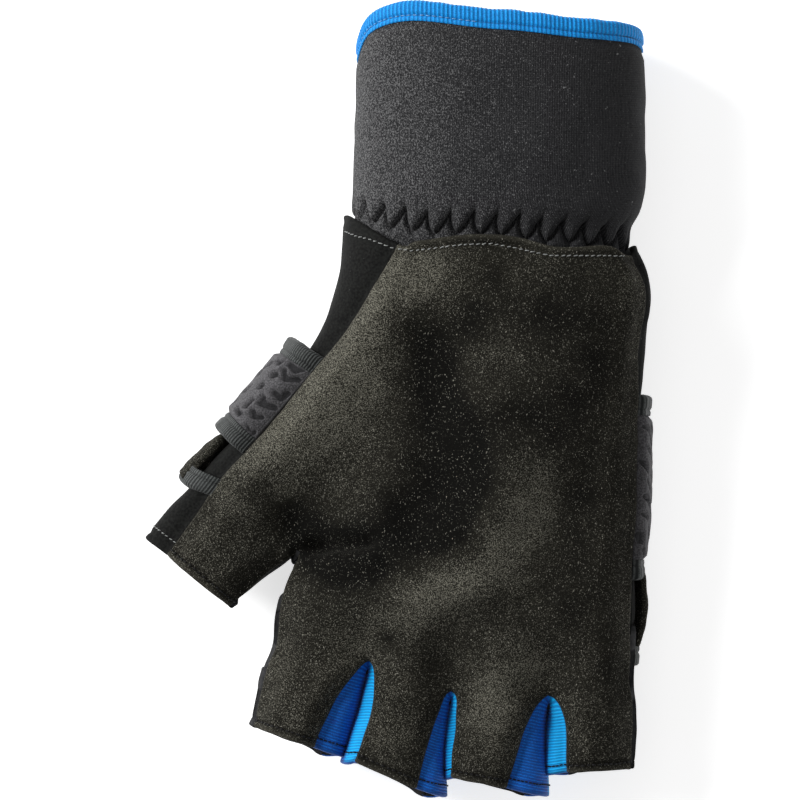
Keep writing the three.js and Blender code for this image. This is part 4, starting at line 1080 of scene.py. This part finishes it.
# Depth of the pits pressed into the bands, from 0 on the ribs to 1 at the bottom of a pit
def pits(a, b, seed):
    rng = np.random.default_rng(seed)
    depth = np.zeros_like(a)
    margin = 4
    for i, ca in enumerate(np.arange(-margin, a.max() + margin, PIT_PITCH[0])):
        for cb in np.arange(-margin, b.max() + margin, PIT_PITCH[1]):
            x = ca + rng.uniform(-PIT_STRAY, PIT_STRAY)
            y = cb + rng.uniform(-PIT_STRAY, PIT_STRAY) + (PIT_PITCH[1] / 2 if i % 2 else 0)
            turn = rng.uniform(0.3, 1.6)
            length = rng.uniform(0.6, 3.6)
            radius = rng.uniform(0.8, 1.25)
            legs = [(x, y, turn, length)]
            if rng.uniform() < 0.3:
                legs.append((x + length * math.cos(turn), y + length * math.sin(turn),
                             turn - rng.uniform(1.2, 1.9), rng.uniform(1.5, 2.6)))
            for px, py, way, reach in legs:
                cx, cy = math.cos(way), math.sin(way)
                t = np.clip((a - px) * cx + (b - py) * cy, 0, reach)
                gap = np.hypot(a - px - t * cx, b - py - t * cy)
                depth = np.maximum(depth, 1 - smoothstep(gap, radius - PIT_SLOPE, radius))
    return depth


def make_band(name, back, band):
    across = np.linspace(band["low"], band["high"], band["columns"])
    row = np.linspace(band["start"], band["end"], band["rows"])[:, None]
    lift = band_lift(band, across)
    middle = on_back(back, row, across[None, :], lift[None, :] + BAND_EDGE_LIFT)[0]
    a = lengths_along(middle, 1)
    b = lengths_along(middle)
    from_edge = np.minimum(b, b[-1:] - b)
    full = smoothstep(from_edge, TAPE_WIDTH - 0.4, TAPE_WIDTH + 1.6)
    pit = pits(a, b, band["seed"]) * smoothstep(from_edge, TAPE_WIDTH, TAPE_WIDTH + 0.8)
    squeeze = end_squeeze(band, across)[None, :]
    swell = band["bulge"] * np.sin(np.pi * np.linspace(0, 1, band["rows"]))[:, None]
    lift = lift + BAND_EDGE_LIFT + swell * smoothstep(across, band["low"], band["low"] + 1.6)
    half = BOUND_EDGE / 2
    uneven = 0.1 * ripple(middle.reshape(-1, 3), 7, band["seed"]).reshape(a.shape)
    above = half + (BAND_THICK + 0.5 - BAND_EDGE_LIFT - half + uneven) * full - PIT_DEPTH * pit
    below = (BAND_EDGE_LIFT - half) * (1 - full) - BAND_EDGE_LIFT
    builder = Builder()
    # The pit depth is also the value that paints shade into the pits
    high = builder.add(on_back(back, row, across[None, :], lift + above * squeeze)[0], pit)
    low = builder.add(on_back(back, row, across[None, :], lift + below * squeeze)[0])
    uv = pairs(a, b)
    builder.grid(high, uv)
    builder.grid(low, uv, 1)
    for edge in (0, -1):
        for place in ((edge, slice(None)), (slice(None), edge)):
            builder.grid(np.stack([high[place], low[place]]), np.stack([uv[place], uv[place]]))
    add_piece(name, builder, (EMBOSSED, LINING), "embossed_neoprene", name)


# Ribbed tape folded over an edge, from a place, the way out and a normal at each station
def make_tape(name, place, out, normal, edge, rib=GREY_RIB, material=GREY_TAPE, slot="binding_grey",
              closed=False, height=0.03, groove=0.35, squeeze=1.0):
    inside = edge / 2 + TAPE_GAP
    outside = inside + TAPE
    fold = TAPE_GAP + TAPE
    skin = [(-TAPE_WIDTH * share, outside + TAPE_CROWN * math.sin(math.pi * (1 - share) * 0.62), 0, 1)
            for share in np.linspace(1, 0, 13)]
    core = [(along, inside, 0, 0) for along, *_ in skin]
    for angle in (60, 30, 0, -30, -60):
        cos, sin = math.cos(math.radians(angle)), math.sin(math.radians(angle))
        skin.append((fold * cos, (outside + (TAPE_ROLL if sin > 0 else 0)) * sin, cos, sin))
        core.append((TAPE_GAP * cos, inside * sin, 0, 0))
    skin += [(-TAPE_WIDTH * share, -outside, 0, -1) for share in np.linspace(0, 1, 5)]
    core += [(along, -inside, 0, 0) for along, *_ in skin[-5:]]
    path = skin + core[::-1]
    along = lengths_along(place)
    total = along[-1] + (np.linalg.norm(place[0] - place[-1]) if closed else 0)
    if closed:
        rib = total / round(total / rib)
    ridge = height * np.cos(2 * math.pi * along / rib)
    uneven = 0.14 * ripple(place, 8, 5)
    fine_ridge = 0.6 * height * np.cos(4 * math.pi * along / rib)
    rings = []
    wear_and_light_marks = []
    groove_at = -GROOVE_SHARE * TAPE_WIDTH
    for reach, up, to_out, to_normal in path:
        lump = (fine_ridge if reach < groove_at else ridge) + uneven
        stitched = bell(reach - groove_at, 0.4) if up > inside else 0.0
        lump = lump * (1 - 0.6 * stitched) - groove * stitched
        # The stitch groove also gets painted shade through this value
        wear_and_light_marks.append(np.full(len(place), stitched))
        across = ((up + to_normal * lump) * squeeze)[:, None]
        rings.append(place + out * (reach + to_out * lump)[:, None] + normal * across)
    builder = Builder()
    points = builder.add(np.array(rings), np.array(wear_and_light_marks))
    around = np.vstack([points, points[:1]])
    spread = np.append(along, total) if closed else along
    uv = pairs(spread[None, :], np.linspace(0, TAPE_GIRTH, len(around))[:, None])
    builder.grid(around, uv, wrap=closed)
    if not closed:
        for end in (0, -1):
            builder.cap(points[:, end])
    add_piece(name, builder, (material,), slot, name)


# The tapes on a band's two long edges, with three stations to a rib
def band_tapes(name, back, band):
    for ending, row, towards in (("wrist", band["start"], -1), ("tip", band["end"], 1)):
        rough = on_back(back, row, np.linspace(band["low"], band["high"], 200), 8)[0]
        length = lengths_along(rough)[-1]
        across = np.linspace(band["low"], band["high"], int(length / GREY_RIB * 3))
        lift = band_lift(band, across) + BAND_EDGE_LIFT
        place, normal = on_back(back, row, across, lift)
        out = unit(place - on_back(back, row - towards * 0.3, across, lift)[0])
        make_tape(f"{name}_{ending}", place, out, normal, BOUND_EDGE, squeeze=end_squeeze(band, across))


# Place in a folded pocket: share from mouth to tip, u across it, level through its thickness
def in_pocket(back, size, share, u, level, inset):
    shape = size["shape"]
    share, u, level = np.broadcast_arrays(share, u, level)
    hollow = FLAT_HOLLOW + (from_table(shape, share, "hollow") - FLAT_HOLLOW) * (1 - u**2)
    low = from_table(shape, share, "low")
    high = from_table(shape, share, "high")
    across = (low + high) / 2 + u * (high - low) / 2
    centre = LAYER_GAP + size["wall"] + hollow / 2
    flare = size["flare"] * np.maximum(-u, 0) * (1 - smoothstep(share, 0, 0.5))
    lift = centre + flare + level * (hollow / 2 + size["wall"] - inset)
    mouth = size["mouth"] + size["slant"] * np.maximum(-u, 0)
    return on_back(back, mouth + (size["tip"] - mouth) * share, across, lift)


def make_pocket(name, back, size):
    turn = ((np.arange(size["around"]) + 0.5) * 2 * math.pi / size["around"])[None, :]
    u = -np.cos(turn)
    level = np.sign(np.sin(turn) + 1e-9) * (1 - np.abs(u)**4)**0.25
    builder = Builder()
    rings = []
    for length, inset, reach, mark in ((1, 0, 1, 0), (0.95, size["wall"], 0.92, 1)):
        share = np.linspace(0, length, size["rows"])[:, None]
        places, normals = in_pocket(back, size, share, u * reach, level, inset)
        if mark == 0:
            flat = places.reshape(-1, 3)
            wave = 0.22 * ripple(flat, 12, size["seed"]) + 0.12 * ripple(flat, 5, size["seed"] + 1)
            places = places + normals * (level * wave.reshape(places.shape[:2]))[..., None]
        names = builder.add(places)
        uv = pairs(lengths_along(wrapped(places), 1), wrapped(lengths_along(places)))
        builder.grid(names, uv, mark, wrap=True)
        rings.append(names)
    builder.grid(np.stack([rings[0][0], rings[1][0]]), wrap=True)
    for names, mark in ((rings[0][-1], 0), (rings[1][-1], 1)):
        builder.cap(names, mark)
    add_piece(name, builder, (SUEDE, LINING), "suede", name)


# The binding of a pocket's mouth, sewn down at both ends of its own line
def mouth_tape(name, back, size):
    step = np.linspace(0, len(size["binding"]["at"]) - 1, size["stations"])
    across, lift, row = (from_table(size["binding"], step, column)
                         for column in ("across", "lift", "row"))
    row = row + size["mouth"]
    place, normal = on_back(back, row, across, lift)
    out = unit(place - on_back(back, row - 0.3, across, lift)[0])
    square = np.cross(np.gradient(place, axis=0), out)
    normal = unit(square * np.sign((square * normal).sum(axis=1).mean()))
    make_tape(name, place, out, normal, size["wall"] + size["ease"])


# The cuff, by angle round the wrist and height along it, with a flat side where it lies on the floor
def cuff_point(angle, y, inset):
    value = {name: from_table(CUFF_ROWS, y, name) for name in ("centre", "half", "mid", "depth")}
    turn = np.radians(angle)
    power = 2 / CUFF_ROUNDNESS
    bend = [np.sign(f(turn)) * np.abs(f(turn))**power for f in (np.cos, np.sin)]
    x = value["centre"] + (value["half"] - inset) * bend[0]
    z = value["mid"] + (value["depth"] - inset) * bend[1]
    x, z, y = np.broadcast_arrays(x, np.maximum(z, inset), y)
    return np.stack([x, y, z], axis=-1)


def even_angles(count, y):
    angle = np.linspace(0, 360, 3601)
    along = lengths_along(cuff_point(angle, y, 0))
    return np.interp(np.linspace(0, along[-1], count, endpoint=False), along, angle), along[-1]


# How far the gathers lift the cuff's surface: puffs above and below a zigzag seam
def gather_lift(angle, y, share, pitch):
    phase = share * GATHER_COUNT
    cell = np.floor(phase)
    p = phase - cell
    rng = np.random.default_rng(12)
    uneven = rng.uniform(-0.5, 0.5, (2, GATHER_COUNT + 2))[:, cell.astype(int) % GATHER_COUNT]
    apex = from_table(GATHERS, angle, "apex") + uneven[0] * 0.8
    fall = GATHER_FALL * (1 + 0.15 * uneven[1])
    v = (y - apex) / fall + 1
    line = (1 - np.abs(2 * p - 1))**1.4
    slope = fall * pitch / 2 / math.hypot(GATHER_FALL, pitch / 2)
    off = (v - line) * slope
    above = GATHER_PUFF * (1 - np.exp(-(np.maximum(off, 0) / 0.62)**1.3))
    tooth = GATHER_TOOTH * np.cos(2 * math.pi * p)
    tooth = tooth * smoothstep(v, -0.1, 0.5) * (1 - smoothstep(v, 0.7, 1.9))
    below = GATHER_PUFF * (1 - np.exp(-(np.maximum(-off, 0) / 0.6)**1.3)) * smoothstep(v, -1.1, -0.2)
    valley = -GATHER_VALLEY * bell((p - 0.5) * pitch, 0.75) * np.exp(-np.maximum(v - 1, 0) * 1.8)
    zone = smoothstep(v, -1.4, -0.3) * (1 - 0.5 * smoothstep(v, 1, 3.5))
    lift = np.where(off > 0, above - SEAM_ABOVE + tooth + valley, below - SEAM_BELOW)
    return lift * zone


def make_cuff():
    angle, around = even_angles(CUFF_AROUND, 50.0)
    pitch = around / GATHER_COUNT
    share = np.arange(CUFF_AROUND) / CUFF_AROUND
    foot = from_table(CUFF_EDGES, angle, "foot")
    rim = from_table(CUFF_EDGES, angle, "rim")
    apex = from_table(GATHERS, angle, "apex")
    below, above = apex + GATHER_REACH[0], apex + GATHER_REACH[1]
    y = np.vstack([np.linspace(foot, below, FOOT_ROWS, endpoint=False),
                   np.linspace(below, above, GATHER_ROWS, endpoint=False),
                   np.linspace(above, rim - UPPER_END, UPPER_ROWS)]
                  + [rim - row for row in RIM_ROWS])
    from_rim = rim[None, :] - y
    thin = 1 - smoothstep(from_rim, 5.4, 7.6)
    outer_inset = thin * (BAND_EDGE_LIFT - BOUND_EDGE / 2)
    inner_inset = CUFF_WALL + thin * (BAND_EDGE_LIFT + BOUND_EDGE / 2 - CUFF_WALL)
    base = cuff_point(angle[None, :], y, outer_inset)
    ahead = np.roll(base, -1, axis=1) - np.roll(base, 1, axis=1)
    up = np.gradient(base, axis=0)
    normal = unit(np.cross(ahead, up))
    outwards = (normal * (base - CUFF_MIDDLE)).sum(axis=-1).mean() > 0
    normal = normal if outwards else -normal
    lift = gather_lift(angle[None, :], y, share[None, :], pitch)
    flat = base.reshape(-1, 3)
    soft = (0.4 * ripple(flat, 34, 3) + 0.1 * ripple(flat, 11, 6)).reshape(y.shape) - 0.3
    free = smoothstep(y, 50, 60) * smoothstep(from_rim, 5, 24)
    outer = base + normal * (lift + soft * free)[..., None]
    builder = Builder()
    # Painted light: the cuff is lighter on its lit left side and darker on its right
    top = builder.add(outer, painted_shading=np.clip((CUFF_PAINTED_SHADING[0] - outer[..., 0]) / CUFF_PAINTED_SHADING[1], -1, 1))
    spread = np.append(share * around, around)
    uv = pairs(spread[None, :], wrapped(y))
    builder.grid(top, uv, wrap=True)
    gathered = FOOT_ROWS + GATHER_ROWS
    inner_rows = np.r_[0:FOOT_ROWS:2, FOOT_ROWS:gathered:3, gathered:len(y) - 1:2, len(y) - 1]
    inner = cuff_point(angle[None, :], y[inner_rows], inner_inset[inner_rows])
    low = builder.add(inner)
    builder.grid(low, uv[inner_rows], 1, wrap=True)
    for edge in (0, -1):
        builder.grid(np.stack([top[edge], low[edge]]), np.stack([uv[edge], uv[edge]]), wrap=True)
    add_piece("cuff", builder, (NEOPRENE, LINING), "neoprene_black", "cuff")


def make_cuff_binding():
    angle, _ = even_angles(BINDING_AROUND, 104.0)
    rim = from_table(CUFF_EDGES, angle, "rim")
    place = cuff_point(angle, rim, BAND_EDGE_LIFT)
    slope = np.roll(place, -4, axis=0) - np.roll(place, 4, axis=0)
    normal = unit(np.stack([slope[:, 2], np.zeros(len(slope)), -slope[:, 0]], axis=1))
    out = unit(place - cuff_point(angle, rim - TAPE_WIDTH, BAND_EDGE_LIFT))
    make_tape("cuff_binding", place, out, normal, BOUND_EDGE, 1.2, BLUE_TAPE, "binding_blue",
              closed=True, height=0.055, groove=0.6)
    seen = (angle > BINDING_STITCHES[0]) & (angle < BINDING_STITCHES[1])
    lift = BOUND_EDGE / 2 + TAPE_GAP + TAPE - THREAD_SINK
    line = place - out * GROOVE_SHARE * TAPE_WIDTH + normal * lift
    stitches("cuff_binding_stitches", [(line[seen], normal[seen])])


# Rows of stitches: pitch, length, thickness, thread, slot and slant of each
THREADS = {
    "hem_stitches": (1.75, 1.3, 0.32, PALE_THREAD, "suede", 0.22),
    "thumb_hem_stitches": (1.5, 1.1, 0.3, PALE_THREAD, "shell_black", 0.2),
    "finger_hem_stitches": (1.7, 1.35, 0.5, DARK_THREAD, "suede", 0),
    "gap_hem_stitches": (1.2, 1.1, 0.42, DARK_THREAD, "knit_blue", 0),
    "cuff_binding_stitches": (1.9, 1.3, 0.26, BLUE_THREAD, "binding_blue", 0),
}


# Stitches: short arcs of thread along lines of places on the fabric
def stitches(name, lines):
    pitch, length, thick, material, slot, slant = THREADS[name]
    builder = Builder()
    sides = 6
    share = np.linspace(-1, 1, 7)
    ring = np.linspace(0, 2 * math.pi, sides, endpoint=False)
    rng = np.random.default_rng(len(name))
    for places, normals in lines:
        along = lengths_along(places)
        for k in range(int(along[-1] / pitch)):
            jitter = rng.uniform(-1, 1, 3)
            at = (k + 0.5 + 0.08 * jitter[0]) * pitch
            reach = length / 2 * (1 + 0.15 * jitter[1])
            lean = slant + 0.12 * jitter[2]
            centre = at_length(at, along, places)
            normal = unit(at_length(at, along, normals))
            ahead = at_length(at + 0.4, along, places) - centre
            if np.linalg.norm(ahead) < 1e-6:
                continue
            ahead = unit(ahead - normal * (ahead @ normal))
            side = np.cross(normal, ahead)
            turned = ahead * math.cos(lean) + side * math.sin(lean)
            across = np.cross(normal, turned)
            centres = (centre + turned * (share * reach)[:, None]
                       + normal * (thick * (0.55 - 1.15 * share**4))[:, None])
            radius = thick / 2 * np.sqrt(np.maximum(1 - 0.75 * share**6, 0.05))
            loop = (across * np.cos(ring)[:, None] + normal * np.sin(ring)[:, None])
            points = centres[:, None, :] + loop[None, :, :] * radius[:, None, None]
            names = builder.add(points)
            builder.grid(names, wrap=True)
            for end in (0, -1):
                builder.cap(names[end])
    add_piece(name, builder, (material,), slot)


# Places close together along a line
def close_places(line):
    line = np.array(line, float)
    along = lengths_along(line)
    return at_length(np.linspace(0, along[-1], max(int(along[-1] / 0.5), 4)), along, line)


# Places and normals of the fabric where it was found
def hits(found):
    return [np.array([hit[column] for hit in found if hit[0] is not None]) for column in (0, 1)]


# Places on the fabric under a line seen from above
def dropped(line):
    down_ray = Vector((0, 0, -1))
    return hits([SURFACE.ray_cast(Vector((x, y, ABOVE_ALL)), down_ray) for x, y in close_places(line)])


# Places on the fabric nearest to a line in space
def snapped(line):
    return hits([SURFACE.find_nearest(Vector(place)) for place in close_places(line)])


HEM_STITCHES = [(-0.6, 42.9), (3.1, 42.3), (10.2, 43.1), (17.6, 44), (25.9, 44.3), (32.1, 43.2),
                (38.7, 41.7), (42.7, 40.9), (50.4, 40.9), (63.8, 40.9)]
SIDE_HEM_STITCHES = [(-15.7, 48), (-12.6, 46.6), (-8.3, 45.5), (-4.3, 44), (-1.5, 42.9)]


# A line across a side strip, a share of the way from one station to another
def strip_line(path, station, other, share):
    return [LATTICE[side_name(path, station, step)][0] * (1 - share)
            + LATTICE[side_name(path, other, step)][0] * share for step in range(SIDE_STEPS + 1)]


def make_stitches():
    stitches("hem_stitches", [dropped(HEM_STITCHES), dropped(SIDE_HEM_STITCHES)])
    end = len(PATHS["left"]["stations"]) - 1
    stitches("thumb_hem_stitches", [snapped(strip_line("left", end, end - 1, 0.84))])
    ends = []
    for name, digit in DIGITS.items():
        share = 0.64 if name == "thumb" else 0.66
        line = []
        for column in range(digit["first"], digit["first"] + digit["columns"] + 1):
            low = LATTICE["front", name, digit["tip"] - 1, column][0]
            high = LATTICE["front", name, digit["tip"], column][0]
            line.append(low + (high - low) * share)
        ends.append(snapped(line))
    stitches("finger_hem_stitches", ends)
    gaps = []
    for name in GAPS:
        count = len(PATHS[name]["stations"])
        for end, near in ((0, 1), (count - 1, count - 2)):
            gaps.append(snapped(strip_line(name, end, near, 0.45)))
    stitches("gap_hem_stitches", gaps)


make_cuff()
make_cuff_binding()
make_pocket("flip_hood", HAND_BACK, HOOD)
make_pocket("thumb_cap", THUMB_BACK, CAP)
make_band("keeper_band", HAND_BACK, HAND_BAND)
make_band("thumb_keeper_band", THUMB_BACK, THUMB_BAND)
band_tapes("keeper_binding", HAND_BACK, HAND_BAND)
band_tapes("thumb_keeper_binding", THUMB_BACK, THUMB_BAND)
mouth_tape("hood_binding", HAND_BACK, HOOD)
mouth_tape("thumb_cap_binding", THUMB_BACK, CAP)
make_stitches()


# Floor, light and camera, in metres and watts: each light has a name, place, size and power
FLOOR_REACH = 3.0
FRAME_WIDTH = 0.228
FOCUS_HEIGHT = 0.025
LIGHTS = [("key", (-1.5, 0.7, 1.1), 1.0, 46.0), ("top", (0.1, 0.3, 1.5), 1.4, 2.5),
          ("fill", (1.4, -0.5, 1.0), 1.2, 4.0)]


def make_studio():
    scene = bpy.context.scene
    floor_mesh = bpy.data.meshes.new("floor")
    corners = [(x * FLOOR_REACH, y * FLOOR_REACH, 0) for x, y in ((-1, -1), (1, -1), (1, 1), (-1, 1))]
    floor_mesh.from_pydata(corners, [], [(0, 1, 2, 3)])
    floor = bpy.data.objects.new("floor", floor_mesh)
    scene.collection.objects.link(floor)
    paint = bpy.data.materials.new("floor")
    paint.use_nodes = True
    shader = paint.node_tree.nodes["Principled BSDF"]
    shader.inputs["Base Color"].default_value = (0.85, 0.85, 0.85, 1)
    shader.inputs["Roughness"].default_value = 1.0
    shader.inputs["Emission Color"].default_value = (1, 1, 1, 1)
    shader.inputs["Emission Strength"].default_value = 0.66
    floor_mesh.materials.append(paint)
    for name, place, size, power in LIGHTS:
        light = bpy.data.lights.new(name, "AREA")
        light.shape = "SQUARE"
        light.size = size
        light.energy = power
        lamp = bpy.data.objects.new(name, light)
        lamp.location = place
        lamp.rotation_mode = "QUATERNION"
        lamp.rotation_quaternion = (Vector((0, 0, 0.02)) - Vector(place)).to_track_quat("-Z", "Y")
        scene.collection.objects.link(lamp)
    world = bpy.data.worlds.new("studio")
    world.use_nodes = True
    world.node_tree.nodes["Background"].inputs["Color"].default_value = (1, 1, 1, 1)
    world.node_tree.nodes["Background"].inputs["Strength"].default_value = 0.2
    scene.world = world
    scene.view_settings.view_transform = "Standard"
    camera = bpy.data.cameras.new("camera")
    camera.lens = 500
    camera.sensor_width = 36
    camera.clip_end = 50
    eye = bpy.data.objects.new("camera", camera)
    eye.location = (0, 0, FOCUS_HEIGHT + FRAME_WIDTH * camera.lens / camera.sensor_width)
    scene.collection.objects.link(eye)
    scene.camera = eye


make_studio()
